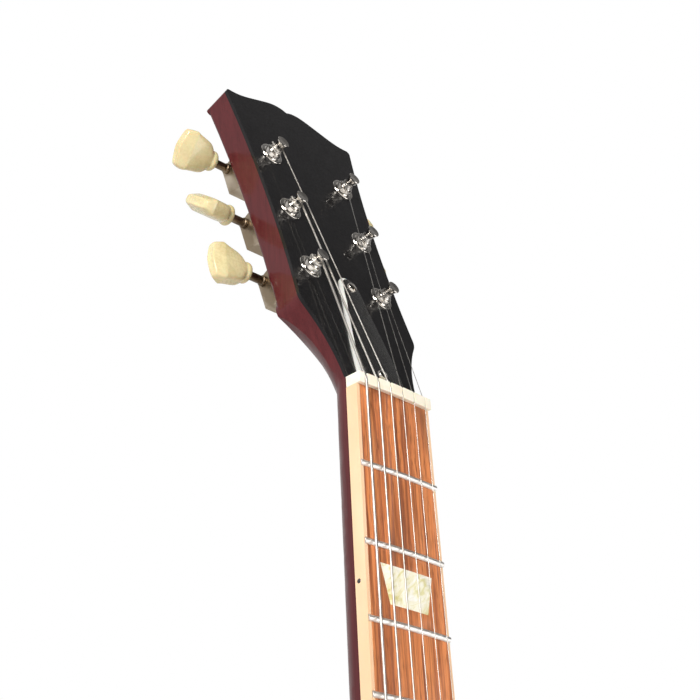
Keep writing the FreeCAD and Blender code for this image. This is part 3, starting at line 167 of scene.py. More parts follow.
def make_floor():
    """A plain pale floor a hand's breadth below the hanging instrument."""
    size, drop = 3.0, 0.1
    level = CAD_BOX[0].z - drop
    mesh = bpy.data.meshes.new("floor")
    mesh.from_pydata([(-size, -size, level), (size, -size, level), (size, size, level),
                      (-size, size, level)], [], [(0, 1, 2, 3)])
    floor = bpy.data.objects.new("floor", mesh)
    bpy.context.scene.collection.objects.link(floor)
    paint = Paint("floor_paint", (0.9, 0.895, 0.885), 0.7)
    paint.tint(paint.noise((30, 30, 30), 4), (0.87, 0.865, 0.85), (0.92, 0.915, 0.905))
    mesh.materials.append(paint.material)


# ---------------------------------------------------------------- materials

class Paint:
    """A Principled material with helpers that add its patterns node by node."""

    def __init__(self, name, color, roughness, **sockets):
        self.material = bpy.data.materials.new(name)
        self.material.use_nodes = True
        self.tree = self.material.node_tree
        self.shader = self.tree.nodes["Principled BSDF"]
        self.shader.inputs["Base Color"].default_value = (*color, 1)
        self.shader.inputs["Roughness"].default_value = roughness
        for socket, value in sockets.items():
            self.shader.inputs[socket.replace("_", " ")].default_value = value
        self.place = self.tree.nodes.new("ShaderNodeTexCoord").outputs["Object"]

    def stretched(self, scale, turn=(0, 0, 0)):
        """Object coordinates, scaled per axis in cycles per metre, after a turn in degrees."""
        spin = self.tree.nodes.new("ShaderNodeVectorRotate")
        spin.rotation_type = "EULER_XYZ"
        spin.inputs["Rotation"].default_value = [math.radians(angle) for angle in turn]
        self.tree.links.new(self.place, spin.inputs["Vector"])
        scaled = self.tree.nodes.new("ShaderNodeVectorMath")
        scaled.operation = "MULTIPLY"
        scaled.inputs[1].default_value = scale
        self.tree.links.new(spin.outputs[0], scaled.inputs[0])
        return scaled.outputs[0]

    def noise(self, scale, detail=3, distortion=0.0, turn=(0, 0, 0)):
        """Soft noise, its cells as many to the metre as the scale says on each axis."""
        texture = self.tree.nodes.new("ShaderNodeTexNoise")
        texture.inputs["Scale"].default_value = 1
        texture.inputs["Detail"].default_value = detail
        texture.inputs["Distortion"].default_value = distortion
        self.tree.links.new(self.stretched(scale, turn), texture.inputs["Vector"])
        return texture.outputs[0]

    def cells(self, scale, turn):
        """Smooth rounded cells."""
        texture = self.tree.nodes.new("ShaderNodeTexVoronoi")
        texture.feature = "SMOOTH_F1"
        texture.inputs["Scale"].default_value = 1
        self.tree.links.new(self.stretched(scale, turn), texture.inputs["Vector"])
        return texture.outputs["Distance"]

    def waves(self, scale):
        """Bands across Z."""
        texture = self.tree.nodes.new("ShaderNodeTexWave")
        texture.bands_direction = "Z"
        texture.inputs["Scale"].default_value = 1
        self.tree.links.new(self.stretched(scale), texture.inputs["Vector"])
        return texture.outputs["Fac"]

    def ramp(self, value, stops):
        """A colour or grey picked by the value: stops are (position, colour)."""
        picker = self.tree.nodes.new("ShaderNodeValToRGB")
        while len(picker.color_ramp.elements) < len(stops):
            picker.color_ramp.elements.new(0.5)
        for element, (position, color) in zip(picker.color_ramp.elements, stops):
            element.position = position
            element.color = (*color, 1) if isinstance(color, tuple) else (color, color, color, 1)
        self.tree.links.new(value, picker.inputs[0])
        return picker.outputs[0]

    def darkened(self, factor, first, second):
        """The first colour multiplied by the second, as far as the factor says."""
        mixer = self.tree.nodes.new("ShaderNodeMix")
        mixer.data_type = "RGBA"
        mixer.blend_type = "MULTIPLY"
        mixer.inputs[0].default_value = factor
        self.tree.links.new(first, mixer.inputs[6])
        self.tree.links.new(second, mixer.inputs[7])
        return mixer.outputs[2]

    def color(self, value):
        self.tree.links.new(value, self.shader.inputs["Base Color"])

    def tint(self, value, low, high):
        """The base colour between two colours, as a noise goes from low to high."""
        self.color(self.ramp(value, ((0.35, low), (0.65, high))))

    def roughen(self, value, low, high):
        """The roughness between two levels, as a noise goes from low to high."""
        level = self.ramp(value, ((0.3, low), (0.7, high)))
        self.tree.links.new(level, self.shader.inputs["Roughness"])

    def bump(self, value, depth, strength=1.0):
        """Relief of the given depth in metres, added over any relief already there."""
        relief = self.tree.nodes.new("ShaderNodeBump")
        relief.inputs["Distance"].default_value = depth
        relief.inputs["Strength"].default_value = strength
        self.tree.links.new(value, relief.inputs["Height"])
        normal = self.shader.inputs["Normal"]
        if normal.is_linked:
            self.tree.links.new(normal.links[0].from_socket, relief.inputs["Normal"])
        self.tree.links.new(relief.outputs[0], normal)


def lacquered_wood():
    """Wine-red gloss lacquer over straight-grained mahogany."""
    paint = Paint("wine_lacquer", (0.12, 0.014, 0.016), 0.4, Coat_Weight=0.48, Coat_Roughness=0.06,
                  Specular_IOR_Level=0.1)
    grain = paint.noise((420, 420, 14), 5, 0.4)
    pores = paint.noise((2600, 2600, 110), 2)
    base = paint.ramp(grain, ((0.3, (0.074, 0.0092, 0.012)), (0.7, (0.1, 0.0138, 0.017))))
    dark = paint.ramp(pores, ((0.36, 0.45), (0.46, 1.0)))
    paint.color(paint.darkened(0.35, base, dark))
    paint.roughen(grain, 0.3, 0.42)
    paint.bump(paint.noise((30, 30, 18), 2), 0.00006, 0.12)
    return paint.material


def black_lacquer():
    """Black gloss lacquer with the faint haze and fine dust of a real finish."""
    paint = Paint("black_lacquer", (0.006, 0.0057, 0.0066), 0.4, Coat_Weight=0.42, Coat_Roughness=0.04,
                  Specular_IOR_Level=0.1)
    haze = paint.noise((160, 160, 160), 4)
    paint.tint(haze, (0.005, 0.0047, 0.0055), (0.0075, 0.007, 0.008))
    paint.roughen(paint.noise((900, 900, 900), 3), 0.34, 0.48)
    specks = paint.ramp(paint.noise((1900, 1900, 1900), 1), ((0.7, 0.0), (0.74, 1.0)))
    paint.bump(specks, 0.00003, 0.3)
    return paint.material


def rosewood():
    """Oiled rosewood: orange-brown with long dark streaks and open pores."""
    paint = Paint("rosewood", (0.4, 0.14, 0.055), 0.45, Specular_IOR_Level=0.35)
    bands = paint.noise((190, 190, 5.5), 3, 1.1)
    streaks = paint.noise((760, 760, 16), 4, 0.5)
    pores = paint.noise((3300, 3300, 120), 2)
    broad = paint.ramp(bands, ((0.34, (0.3, 0.1, 0.05)), (0.46, (0.54, 0.18, 0.066)),
                               (0.58, (0.76, 0.28, 0.1)), (0.7, (0.46, 0.17, 0.09))))
    fine = paint.ramp(streaks, ((0.32, (0.42, 0.36, 0.33)), (0.5, (1, 1, 1)),
                                (0.68, (1.0, 0.93, 0.86))))
    open_pores = paint.ramp(pores, ((0.33, 0.3), (0.43, 1.0)))
    tone = paint.darkened(0.85, broad, fine)
    paint.color(paint.darkened(0.75, tone, open_pores))
    paint.roughen(streaks, 0.5, 0.38)
    paint.bump(open_pores, 0.00012, 0.5)
    return paint.material


def cream_binding():
    """Aged cream celluloid, slightly clouded."""
    paint = Paint("cream_binding", (0.9, 0.6, 0.37), 0.28, Subsurface_Weight=0.12,
                  Subsurface_Scale=0.002, Coat_Weight=0.4, Coat_Roughness=0.06)
    paint.tint(paint.noise((90, 90, 25), 3), (0.86, 0.56, 0.34), (0.93, 0.63, 0.41))
    paint.bump(paint.noise((220, 220, 60), 2), 0.00006, 0.3)
    return paint.material


def pearloid():
    """Swirled pearl plastic: cream clouds crossed by slanting yellow-green flashes."""
    paint = Paint("pearloid", (0.93, 0.9, 0.75), 0.2, Coat_Weight=0.6, Coat_Roughness=0.03)
    clouds = paint.noise((120, 120, 330), 3, 1.4, turn=(0, 38, 0))
    flashes = paint.cells((170, 170, 60), turn=(0, -32, 8))
    base = paint.ramp(clouds, ((0.36, (0.78, 0.74, 0.42)), (0.48, (0.93, 0.91, 0.74)),
                               (0.62, (0.97, 0.96, 0.9))))
    veins = paint.ramp(flashes, ((0.2, (1, 1, 1)), (0.52, (0.97, 0.95, 0.86)),
                                 (0.68, (0.83, 0.77, 0.42))))
    paint.color(paint.darkened(0.7, base, veins))
    paint.roughen(clouds, 0.16, 0.3)
    return paint.material


def metal(name, light, dark, smooth, rough, scale=400, dirt=0.0):
    """A plated or bare metal with handling marks; dirt darkens it in patches."""
    paint = Paint(name, light, smooth, Metallic=1.0)
    marks = paint.noise((scale, scale, scale), 4)
    patches = paint.noise((scale / 5, scale / 5, scale / 5), 5, 0.6)
    paint.color(paint.ramp(patches, ((0.38 + 0.1 * dirt, dark), (0.62, light))))
    paint.roughen(marks, smooth, rough)
    if dirt:
        paint.bump(paint.noise((scale * 2, scale * 2, scale * 2), 3), 0.00003, 0.25 * dirt)
    return paint.material


def wound_steel():
    """Nickel wrap wire: fine ridges across the string."""
    paint = Paint("wound_steel", (0.7, 0.68, 0.64), 0.38, Metallic=0.95)
    paint.tint(paint.noise((300, 300, 40), 3), (0.58, 0.55, 0.51), (0.76, 0.74, 0.7))
    paint.bump(paint.waves((0, 0, 620)), 0.00004, 0.35)
    return paint.material


def aged_plastic(name, color, shade, coat=0.5, roughness=0.25, soft=0.25):
    """Moulded plastic that has yellowed unevenly, slightly translucent."""
    paint = Paint(name, color, roughness, Subsurface_Weight=soft, Subsurface_Scale=0.004,
                  Coat_Weight=coat, Coat_Roughness=0.08)
    paint.tint(paint.noise((95, 95, 95), 4, 0.8), shade, color)
    paint.roughen(paint.noise((700, 700, 700), 3), roughness * 0.8, roughness * 1.4)
    paint.bump(paint.noise((260, 260, 260), 3), 0.00005, 0.18)
    return paint.material


def gloss_black():
    """Black plastic with handling haze."""
    paint = Paint("black_plastic", (0.014, 0.014, 0.014), 0.22, Coat_Weight=0.6, Coat_Roughness=0.05)
    paint.tint(paint.noise((260, 260, 260), 3), (0.011, 0.011, 0.011), (0.018, 0.018, 0.018))
    paint.roughen(paint.noise((1200, 1200, 200), 3), 0.18, 0.34)
    return paint.material


def amber():
    """Clear amber over gold foil, as a knob shows it."""
    paint = Paint("amber_plastic", (0.55, 0.25, 0.045), 0.18, Coat_Weight=1.0, Coat_Roughness=0.03,
                  Metallic=0.35)
    paint.tint(paint.noise((240, 240, 240), 3, 0.5), (0.42, 0.17, 0.025), (0.66, 0.33, 0.07))
    return paint.material


def copper_wire():
    """Fine enamelled wire wound along X."""
    paint = Paint("copper_coil", (0.42, 0.13, 0.05), 0.4, Metallic=0.6)
    paint.tint(paint.noise((50, 1800, 1800), 2), (0.28, 0.08, 0.03), (0.5, 0.17, 0.07))
    paint.bump(paint.noise((30, 2500, 2500), 1), 0.00008, 0.6)
    return paint.material


MATERIALS = {
    "wine_lacquer": lacquered_wood(),
    "black_lacquer": black_lacquer(),
    "rosewood": rosewood(),
    "cream_binding": cream_binding(),
    "pearloid": pearloid(),
    "nickel": metal("nickel", (0.83, 0.8, 0.76), (0.7, 0.66, 0.61), 0.09, 0.17, 250),
    "aged_nickel": metal("aged_nickel", (0.64, 0.56, 0.45), (0.34, 0.27, 0.19), 0.28, 0.48, 300, 0.6),
    "bronze": metal("bronze", (0.36, 0.28, 0.19), (0.15, 0.11, 0.075), 0.3, 0.5, 500, 0.4),
    "steel_string": metal("steel_string", (0.66, 0.65, 0.63), (0.5, 0.48, 0.46), 0.24, 0.38),
    "fret_nickel": metal("fret_nickel", (0.94, 0.93, 0.9), (0.84, 0.82, 0.79), 0.4, 0.55),
    "wound_steel": wound_steel(),
    "button_plastic": aged_plastic("button_plastic", (0.72, 0.63, 0.36), (0.63, 0.54, 0.29)),
    "bone": aged_plastic("bone", (0.93, 0.89, 0.78), (0.87, 0.8, 0.64), 0.3, 0.35, 0.15),
    "black_plastic": gloss_black(),
    "white_plastic": aged_plastic("white_plastic", (0.95, 0.93, 0.9), (0.91, 0.89, 0.85),
                                  0.4, 0.3, 0.1),
    "cream_plastic": aged_plastic("cream_plastic", (0.83, 0.7, 0.44), (0.76, 0.62, 0.36),
                                  0.5, 0.25, 0.15),
    "brass": metal("brass", (0.83, 0.62, 0.27), (0.6, 0.41, 0.15), 0.18, 0.36),
    "steel": metal("steel", (0.56, 0.56, 0.56), (0.4, 0.4, 0.4), 0.25, 0.42),
    "amber_knob": amber(),
    "copper_coil": copper_wire(),
}

FINISH = {
    "wine_lacquer": ("neck", "body_back", "body_top"),
    "black_lacquer": ("headplate",),
    "rosewood": ("fretboard",),
    "cream_binding": ("fretboard_binding", "body_binding"),
    "pearloid": ("inlays",),
    "black_plastic": ("side_dots", "truss_rod_cover", "back_covers"),
    "bone": ("nut",),
    "steel": ("truss_rod", "control_pots", "switch_body"),
    "brass": ("truss_rod_nut", "bridge_saddles"),
    "aged_nickel": ("tuner_housings",),
    "steel_string": ("plain_strings",),
    "wound_steel": ("wound_strings",),
    "copper_coil": ("pickup_coils",),
    "cream_plastic": ("pickup_rings", "pickguard", "switch_ring", "toggle_lever", "jack_plate"),
    "nickel": ("cover_screws", "tuner_screws", "post_bushings", "bridge_base", "bridge_posts",
               "tailpiece", "tailpiece_studs", "pickup_covers", "pole_screws", "output_jack",
               "strap_buttons"),
    "fret_nickel": ("frets",),
}
FINISH_BY_START = {"button_": "button_plastic", "key_shaft_": "bronze", "post_": "nickel"}
# Width in millimetres of the rounding along a node's sharp edges.
BEVELS = {"neck": 0.5, "headplate": 0.25, "fretboard_binding": 0.3, "nut": 0.3, "truss_rod_cover": 0.3,
          "tuner_housings": 0.4, "tuner_screws": 0.1, "cover_screws": 0.12, "bridge_base": 0.6,
          "bridge_saddles": 0.15, "bridge_posts": 0.3, "tailpiece": 0.9,
          "tailpiece_studs": 0.3, "pickup_covers": 0.9, "pickup_rings": 0.8, "pole_screws": 0.15,
          "pickguard": 0.5, "switch_ring": 0.4, "back_covers": 0.5, "jack_plate": 0.5,
          "output_jack": 0.3, "strap_buttons": 0.4, "body_binding": 0.4}


def finish_of(name):
    """The material's name for a CAD node."""
    if name.endswith("_knob"):
        return "amber_knob"
    chosen = [finish for finish, names in FINISH.items() if name in names]
    chosen += [finish for start, finish in FINISH_BY_START.items() if name.startswith(start)]
    return chosen[0]


def finish_node(name, node):
    """Give a CAD node its material, softened edges and smooth shading between its facets."""
    node.data.materials.clear()
    node.data.materials.append(MATERIALS[finish_of(name)])
    weld = node.modifiers.new("weld", "WELD")
    weld.merge_threshold = 0.000002
    width = BEVELS.get(name, 0.2 if name.startswith("key_") else 0.0)
    if width:
        soften(node, width)
    smooth(node)
    level_normals(node)


def soften(thing, width):
    """A small rounding along every sharp edge; width in millimetres."""
    bevel = thing.modifiers.new("bevel", "BEVEL")
    bevel.width = width * MM
    bevel.segments = 2
    bevel.limit_method = "ANGLE"
    bevel.angle_limit = math.radians(35)
    bevel.use_clamp_overlap = True
    bevel.harden_normals = False


def level_normals(thing):
    """Let the large faces of a piece set its shading, so that flat ones look flat."""
    weighted = thing.modifiers.new("weighted", "WEIGHTED_NORMAL")
    weighted.keep_sharp = True
    weighted.weight = 80


def smooth(thing, angle=32):
    """Shade smooth across edges flatter than the angle."""
    for face in thing.data.polygons:
        face.use_smooth = True
    if "custom_normal" in thing.data.attributes:
        thing.data.attributes.remove(thing.data.attributes["custom_normal"])
    with bpy.context.temp_override(object=thing, active_object=thing, selected_objects=[thing],
                                   selected_editable_objects=[thing]):
        bpy.ops.object.shade_smooth_by_angle(angle=math.radians(angle))


for node_name, node_object in NODES.items():
    finish_node(node_name, node_object)


# ---------------------------------------------------------------- making pieces

def loft(rings):
    """Points and faces of a closed skin through rings of equally many points."""
    count = len(rings[0])
    points = [point for ring in rings for point in ring]
    faces = []
    for level in range(len(rings) - 1):
        low, high = level * count, (level + 1) * count
        for step in range(count):
            after = (step + 1) % count
            faces.append((low + step, low + after, high + after, high + step))
    faces.append(tuple(reversed(range(count))))
    faces.append(tuple(range(len(points) - count, len(points))))
    return points, faces


def tube(route, radius, sides):
    """A round tube along a list of points, its sections carried along without twist."""
    rings = []
    across = None
    for index, point in enumerate(route):
        before, after = route[max(index - 1, 0)], route[min(index + 1, len(route) - 1)]
        along = (after - before).normalized()
        across = along.orthogonal() if across is None else across - along * across.dot(along)
        across.normalize()
        other = along.cross(across)
        rings.append([point + (across * math.cos(turn) + other * math.sin(turn)) * radius
                      for turn in (math.tau * step / sides for step in range(sides))])
    return loft(rings)


def lathe(profile, sides, flute=0.0, flutes=0, fluted=(0, 0)):
    """A turned shape about its own Z from (radius, height) pairs, fluted between two heights."""
    rings = []
    for radius, height in profile:
        ring = []
        for step in range(sides):
            turn = math.tau * step / sides
            wave = flute * math.cos(flutes * turn) if fluted[0] <= height <= fluted[1] else 0
            reach = radius + wave
            ring.append(Vector((reach * math.cos(turn), reach * math.sin(turn), height)))
        rings.append(ring)
    return loft(rings)


def make_piece(name, shape, system, body, material, replaces=(), angle=32, rounding=0):
    """A mesh piece from points in a frame's millimetres, riding on a body of the CAD model."""
    points, faces = shape
    mesh = bpy.data.meshes.new(name)
    mesh.from_pydata([system @ (Vector(point) * MM) for point in points], [], faces)
    mesh.materials.append(MATERIALS[material])
    work = bmesh.new()
    work.from_mesh(mesh)
    bmesh.ops.recalc_face_normals(work, faces=work.faces)
    work.to_mesh(mesh)
    work.free()
    thing = bpy.data.objects.new(name, mesh)
    bpy.context.scene.collection.objects.link(thing)
    if rounding:
        rounded = thing.modifiers.new("rounding", "SUBSURF")
        rounded.levels = rounding
        rounded.render_levels = rounding
    smooth(thing, angle)
    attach(thing, body)
    if replaces:
        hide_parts(*replaces)
    return thing


def tuner_name(side, row):
    """A tuner's name: its side and its number from the nut."""
    return "%s_%d" % ("bass" if side < 0 else "treble", row + 1)


def post_spot(side, row):
    """Where a post stands on the headstock face: x and height up the face."""
    return (POST_HALF + POST_FLARE * row) * side, POST_LOW + POST_SPACING * row


def arc_points(start, middle, end, count):
    """Points along the arc through three points of a plane, without its last one."""
    start, middle, end = (Vector(point) for point in (start, middle, end))
    near, far = middle - start, end - start
    cross = 2 * (near.x * far.y - near.y * far.x)
    left, right = near.length_squared, far.length_squared
    centre = start + Vector((left * far.y - right * near.y, right * near.x - left * far.x)) / cross
    radius = (start - centre).length
    first = math.atan2((start - centre).y, (start - centre).x)
    last = math.atan2((end - centre).y, (end - centre).x)
    sweep = math.remainder(last - first, math.tau)
    turns = [first + sweep * step / count for step in range(count)]
    return [centre + Vector((math.cos(turn), math.sin(turn))) * radius for turn in turns]


# ---------------------------------------------------------------- tuner buttons

# Along the shaft, half width, half thickness, squareness of the section, how far its middle stands out.
BUTTON_SECTIONS = (
    (0.0, 3.6, 3.6, 2.0, 0), (0.3, 4.3, 4.3, 2.0, 0), (0.9, 4.8, 4.8, 2.0, 0),
    (1.8, 4.95, 4.95, 2.0, 0), (2.5, 4.8, 4.75, 2.0, 0), (2.9, 4.5, 4.3, 2.0, 0),
    (3.3, 4.9, 4.1, 2.1, 0), (4.1, 6.1, 4.2, 2.4, 0), (5.6, 7.3, 4.3, 3.0, 0),
    (8.0, 7.9, 4.35, 3.6, 0), (12.0, 8.6, 4.3, 4.2, 0.2),
    (14.3, 9.2, 4.25, 5.0, 0.6), (14.8, 9.45, 4.2, 5.6, 0.7), (15.3, 9.5, 4.0, 5.6, 0.8),
    (18.6, 8.9, 2.5, 5.0, 1.4), (19.4, 8.4, 2.1, 4.4, 1.6), (19.8, 7.4, 1.6, 3.6, 1.7))


def button_shape(side, row):
    """A keystone button: ring collar, bulging shoulders, flared body and a ridged outer end."""
    x, rise = post_spot(side, row)
    turn = math.radians(KEY_TURNS[side, row])
    wide = Vector((0, math.sin(turn), math.cos(turn)))
    thick = Vector((0, math.cos(turn), -math.sin(turn)))
    start = Vector((BUTTON_START * side, HEAD_THICKNESS + WORM_DEPTH, rise + WORM_OFFSET))
    sides = 40
    rings = []
    for out, half, flat, square, peak in BUTTON_SECTIONS:
        ring = []
        for step in range(sides):
            angle = math.tau * step / sides
            across = math.copysign(abs(math.cos(angle)) ** (2 / square), math.cos(angle))
            through = math.copysign(abs(math.sin(angle)) ** (2 / square), math.sin(angle))
            away = Vector((side * (out + peak * (1 - abs(across))), 0, 0))
            ring.append(start + away + wide * (half * across) + thick * (flat * through))
        rings.append(ring)
    return loft(rings)


for side, row in TUNERS:
    place_name = tuner_name(side, row)
    make_piece("keystone_" + place_name, button_shape(side, row), HEAD, "key_" + place_name,
               "button_plastic", ("button_" + place_name,), 40, 1)


# ---------------------------------------------------------------- posts, bushings and string windings

# Radius and height above the headstock's face: a narrow waist under a flared, flat-faced cap.
POST_PROFILE = ((1.4, -23.3), (3.05, -23.2), (3.1, 3.1), (2.0, 4.3), (1.9, 5.2), (1.95, 6.3),
                (2.3, 7.3), (2.95, 8.3), (3.1, 8.45), (3.1, 8.85), (2.95, 9.0), (2.6, 9.0), (0.3, 8.9))
BUSHING_PROFILE = ((5.9, 0.02), (5.95, 0.4), (5.8, 0.66), (5.5, 0.74), (4.9, 0.68), (4.35, 0.72),
                   (4.1, 0.95), (4.0, 1.4), (3.85, 2.2), (3.7, 2.65), (3.5, 2.8), (3.3, 2.78),
                   (3.2, 2.6), (3.2, 0.5))


def post_radius(height):
    """The post's radius at a height above the headstock face."""
    for (before, low), (after, high) in zip(POST_PROFILE, POST_PROFILE[1:]):
        if low <= height <= high:
            return before + (after - before) * (height - low) / (high - low)
    return POST_PROFILE[0][0]


def outward(system, x, y, z, lean):
    """A frame at a spot of another one, leaned about X: at 90 degrees its +Z points to the front."""
    return (system @ Matrix.Translation(Vector((x, y, z)) * MM)
            @ Matrix.Rotation(math.radians(lean), 4, "X"))


def post_frame(side, row):
    """A frame on the headstock's face with its own +Z out along the post."""
    x, rise = post_spot(side, row)
    return outward(HEAD, x, 0, rise, 90)


def combined(shapes):
    """Several sets of points and faces as one."""
    points, faces = [], []
    for more_points, more_faces in shapes:
        start = len(points)
        points += more_points
        faces += [tuple(start + corner for corner in face) for face in more_faces]
    return points, faces


def placed(shape, system):
    """A shape's millimetre points carried by a frame, back into world millimetres."""
    points, faces = shape
    return [(system @ (Vector(point) * MM)) / MM for point in points], faces


def string_start(index):
    """Where a string meets its post in the headstock frame, and its lean from straight up."""
    x = -STRING_SPREAD / 2 + index * STRING_SPREAD / 5
    surface = -BOARD_CROWN + x * x / (2 * BOARD_RADIUS)
    nut = NECK @ (Vector((x, surface - STRING_LIFT - STRING_RADII[index], NUT_MIDDLE)) * MM)
    near = (HEAD.inverted() @ nut) / MM
    side, row = (-1, index) if index < 3 else (1, 5 - index)
    post_x, rise = post_spot(side, row)
    wrap = WRAP_RADIUS + STRING_RADII[index] + WRAP_GAP
    run, drift = rise - near.z, post_x - near.x
    return side, row, math.atan2(drift, run) - side * math.asin(wrap / math.hypot(run, drift))


def winding_shape(index):
    """The turns of a string round its post, going down from where it arrives."""
    side, row, lean = string_start(index)
    x, rise = post_spot(side, row)
    radius = STRING_RADII[index]
    # Heights above the headstock where the string arrives and where its last turn lies.
    arrive, lowest = 4.9, 3.3 + radius
    pitch = 2.06 * radius
    turns = max((arrive - lowest) / pitch, 1.4)
    steps = round(turns * 28)
    route = []
    for step in range(steps + 1):
        turn = side * lean + math.tau * turns * step / steps
        height = arrive + (lowest - arrive) * step / steps
        # Over the first part of a turn the string comes in to lie on the post's waist.
        closing = min(turns * step / steps / 0.4, 1)
        reach = WRAP_RADIUS + (post_radius(height) - WRAP_RADIUS) * closing
        reach += radius + WRAP_GAP * (1 - closing)
        beside, above = side * reach * math.cos(turn), reach * math.sin(turn)
        route.append(Vector((x - beside, -height, rise + above)))
    return tube(route, radius, 12)


def stub_shape(index):
    """The cut end of a string where it leaves the hole in its post."""
    side, row, lean = string_start(index)
    x, rise = post_spot(side, row)
    radius = min(STRING_RADII[index], 0.5)
    route = [Vector((x + side * reach, -height, rise + up)) for reach, height, up in
             ((1.2, 5.2, 0), (2.6, 5.25, 0), (3.4, 5.45, 0.3), (4.0, 5.9, 0.7))]
    return tube(route, radius, 8)


def gear_ring():
    """The worm wheel at the foot of a post: scalloped teeth, inside the housing."""
    teeth, bevel, tooth_depth = 14, 0.35, 0.28
    middle = -HEAD_THICKNESS - WORM_DEPTH
    low, high = middle - GEAR_WIDTH / 2, middle + GEAR_WIDTH / 2
    rim, hub = GEAR_RADIUS - 0.6, GEAR_RADIUS - 1.0
    rings = []
    for radius, height in ((hub, low), (rim, low), (GEAR_RADIUS, low + bevel),
                           (GEAR_RADIUS, high - bevel), (rim, high), (hub, high)):
        ring = []
        for step in range(teeth * 8):
            turn = math.tau * step / (teeth * 8)
            reach = radius - (tooth_depth * (1 + math.cos(turn * teeth)) if radius > hub else 0)
            ring.append(Vector((reach * math.cos(turn), reach * math.sin(turn), height)))
        rings.append(ring)
    return loft(rings)


def make_posts():
    """The posts and the bushings that line their holes."""
    for side, row in TUNERS:
        name = tuner_name(side, row)
        shape = combined([lathe(POST_PROFILE, 56), gear_ring()])
        make_piece("peg_" + name, placed(shape, post_frame(side, row)), Matrix(), "string_post_" + name,
                   "nickel", ("post_" + name,), 28)
    rings = [placed(lathe(BUSHING_PROFILE, 64), post_frame(side, row)) for side, row in TUNERS]
    make_piece("bushings", combined(rings), Matrix(), "guitar", "nickel",
               ("post_bushings",), 28)


make_posts()

for index in range(6):
    side, row, lean = string_start(index)
    place_name = tuner_name(side, row)
    wire = "wound_steel" if index < 3 else "steel_string"
    make_piece("winding_" + place_name, winding_shape(index), HEAD, "string_post_" + place_name, wire,
               (), 60)
    make_piece("string_end_" + place_name, stub_shape(index), HEAD, "string_post_" + place_name, wire,
               (), 60)


# ---------------------------------------------------------------- truss rod cover

def bell_outline():
    """The cover's bell shape: wide at the nut, its sides nearly straight, with a round top."""
    right = (arc_points((14.2, 2.6), (13.9, 8.0), (13.0, 16.0), 6)
             + arc_points((13.0, 16.0), (10.6, 32.0), (7.6, 48.0), 12)
             + arc_points((7.6, 48.0), (7.0, 54.0), (5.9, 59.0), 6)
             + arc_points((5.9, 59.0), (0.0, 64.5), (-5.9, 59.0), 24)[:12])
    return right + [Vector((0, 64.5))] + [Vector((-point.x, point.y)) for point in reversed(right)]


def inset(outline, distance):
    """An outline drawn in along the line that halves each corner."""
    moved = []
    for index, point in enumerate(outline):
        before, after = outline[index - 1], outline[(index + 1) % len(outline)]
        first, second = (point - before).normalized(), (after - point).normalized()
        inward = Vector((-first.y - second.y, first.x + second.x)).normalized()
        shortening = max(inward.dot(Vector((-first.y, first.x))), 0.4)
        moved.append(point + inward * distance / shortening)
    return moved


def make_cover():
    """A black plate on a white one, the shared edge bevelled so that the white shows all round."""
    outline = bell_outline()
    seam = (1.35, 1.7)
    levels = ((0.0, 0.02), (0.0, 0.8), seam)
    white = [[Vector((x, -height, y)) for x, y in inset(outline, into)] for into, height in levels]
    make_piece("cover_white_ply", loft(white), HEAD, "guitar", "white_plastic",
               ("truss_rod_cover",), 20)
    levels = (seam, (1.75, COVER_THICKNESS - 0.02), (1.95, COVER_THICKNESS))
    black = [[Vector((x, -height, y)) for x, y in inset(outline, into)] for into, height in levels]
    make_piece("cover_black_ply", loft(black), HEAD, "guitar", "black_plastic", (), 20)


make_cover()


# ---------------------------------------------------------------- knobs

def tip_of(name, system):
    """How far a node reaches along a frame's -Y, in millimetres."""
    back = system.inverted()
    return min((back @ vertex.co).y for vertex in NODES[name].data.vertices) / MM


def make_knob(name, x, z):
    """A top-hat knob: brim, fluted crown and a shallow dish on top."""
    rest = tip_of(name, BODY) + KNOB_HEIGHT
    system = outward(BODY, x, rest, z, 90)
    profile = ((3.2, 0.2), (12.6, 0.0), (13.1, 0.4), (13.2, 1.6), (12.8, 2.4), (11.4, 3.4), (10.6, 4.4),
               (10.3, 5.4), (10.2, 5.9), (9.6, 12.6), (9.3, 13.5), (8.7, 14.2), (8.0, KNOB_HEIGHT),
               (7.4, 14.1), (6.8, 13.7), (3.0, 13.5), (0.6, 13.5))
    shape = lathe(profile, 144, flute=0.16, flutes=36, fluted=(5.5, 13.0))
    make_piece(name + "_shell", shape, system, name, "amber_knob", (name,), 30)


for knob, (x, z) in KNOBS.items():
    make_knob(knob, x, z)


# ---------------------------------------------------------------- pickguard and surface screws

def rounded_outline(corners, steps=8):
    """A closed outline through corners given as x, z and radius, each one rounded off."""
    outline = []
    for index, (x, z, radius) in enumerate(corners):
        corner = Vector((x, z))
        before = (Vector(corners[index - 1][:2]) - corner).normalized()
        after = (Vector(corners[(index + 1) % len(corners)][:2]) - corner).normalized()
        half = before.angle(after) / 2
        start = corner + before * radius / math.tan(half)
        end = corner + after * radius / math.tan(half)
        centre = corner + (before + after).normalized() * radius / math.sin(half)
        for step in range(steps + 1):
            outline.append(centre + (start.lerp(end, step / steps) - centre).normalized() * radius)
    return outline


def make_guard():
    """The pickguard: notched round both pickups, with a bevelled edge."""
    corners = ((45.5, -507, 0.5), (31, -509, 2), (31, -571.5, 2), (45.5, -572, 0.5), (45.5, -592, 2),
               (77, -590, 9), (91, -560, 22), (88, -530, 60), (72, -492, 60), (58, -461, 3),
               (45.5, -461, 2))
    outline = rounded_outline(corners)
    bevel = 0.9
    levels = ((0.0, GUARD_BACK), (0.0, GUARD_FRONT + bevel), (bevel, GUARD_FRONT))
    rings = [[Vector((x, y, z)) for x, z in inset(outline, into)] for into, y in levels]
    make_piece("guard", loft(rings), BODY, "guitar", "cream_plastic",
               ("pickguard",), 20)


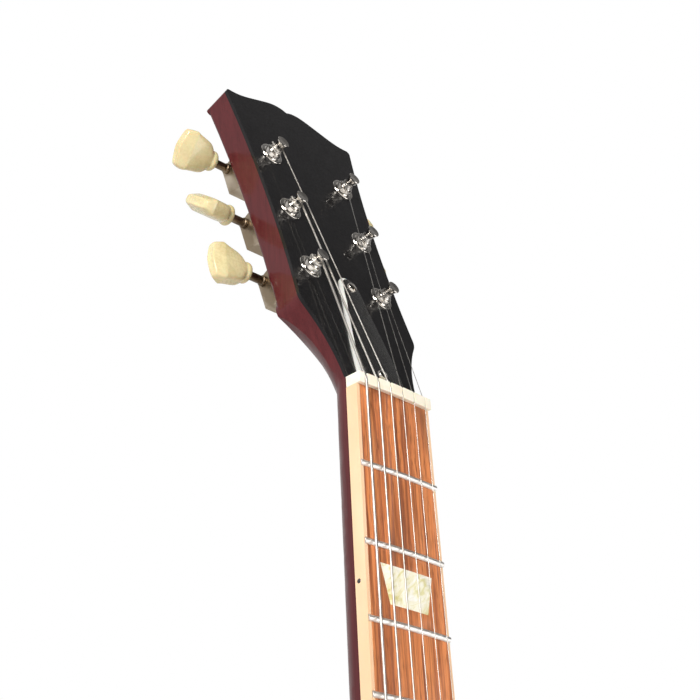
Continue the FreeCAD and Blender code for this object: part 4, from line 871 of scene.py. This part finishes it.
def screw_head(radius):
    """A domed screw head with a cross recess, standing up along +Z."""
    height, sides = 0.42 * radius, 64
    rings = []
    for share, level in ((1.0, 0.0), (1.0, 0.35), (0.9, 0.62), (0.72, 0.85), (0.62, 0.92), (0.58, 0.93),
                         (0.35, 0.98), (0.08, 1.0)):
        ring = []
        for step in range(sides):
            x = share * radius * math.cos(math.tau * step / sides)
            y = share * radius * math.sin(math.tau * step / sides)
            sunk = share < 0.6 and min(abs(x), abs(y)) < 0.18 * radius
            ring.append(Vector((x, y, height * (level - (0.7 if sunk else 0)))))
        rings.append(ring)
    return loft(rings)


def make_surface_screws():
    """The screws that show: on the pickup rings, the pickguard and the two lids at the back."""
    # Each as x, y, z, the head's radius and its lean: 90 to the front, -90 to the back.
    spots = [(x, front, line + up, 1.9, 90) for line, front in PICKUPS
             for x in (-39.9, 39.9) for up in (-17.5, 0, 17.5)]
    spots += [(x, GUARD_FRONT, z, 2.3, 90) for x, z in ((52.5, -467), (83, -562))]
    spots += [(x, LID_FACE, z, 2.5, -90)
              for x, z in ((70, -630), (142.5, -667), (124.5, -754.5), (35, -724))]
    for turn in (math.radians(90), math.radians(210), math.radians(330)):
        x, z = SWITCH[0] + 21.9 * math.cos(turn), SWITCH[1] + 21.9 * math.sin(turn)
        spots.append((x, LID_FACE, z, 2.1, -90))
    heads = []
    for index, (x, y, z, radius, lean) in enumerate(spots):
        # No two screws stop at the same angle.
        system = outward(BODY, x, y, z, lean) @ Matrix.Rotation(index * 0.9, 4, "Z")
        heads.append(placed(screw_head(radius), system))
    make_piece("surface_screws", combined(heads), Matrix(), "guitar", "nickel", (), 35)


make_guard()
make_surface_screws()


# ---------------------------------------------------------------- stage

bpy.context.scene.view_settings.view_transform = "Standard"
make_camera()
make_world()
make_floor()
make_light("key", (-1.3, -0.9, 0.5), (0, 0, -0.1), 0.9, 28, (1, 0.97, 0.93))
make_light("fill", (0.9, -1.2, -0.4), (0, 0, -0.2), 1.2, 8, (1, 0.98, 0.96))
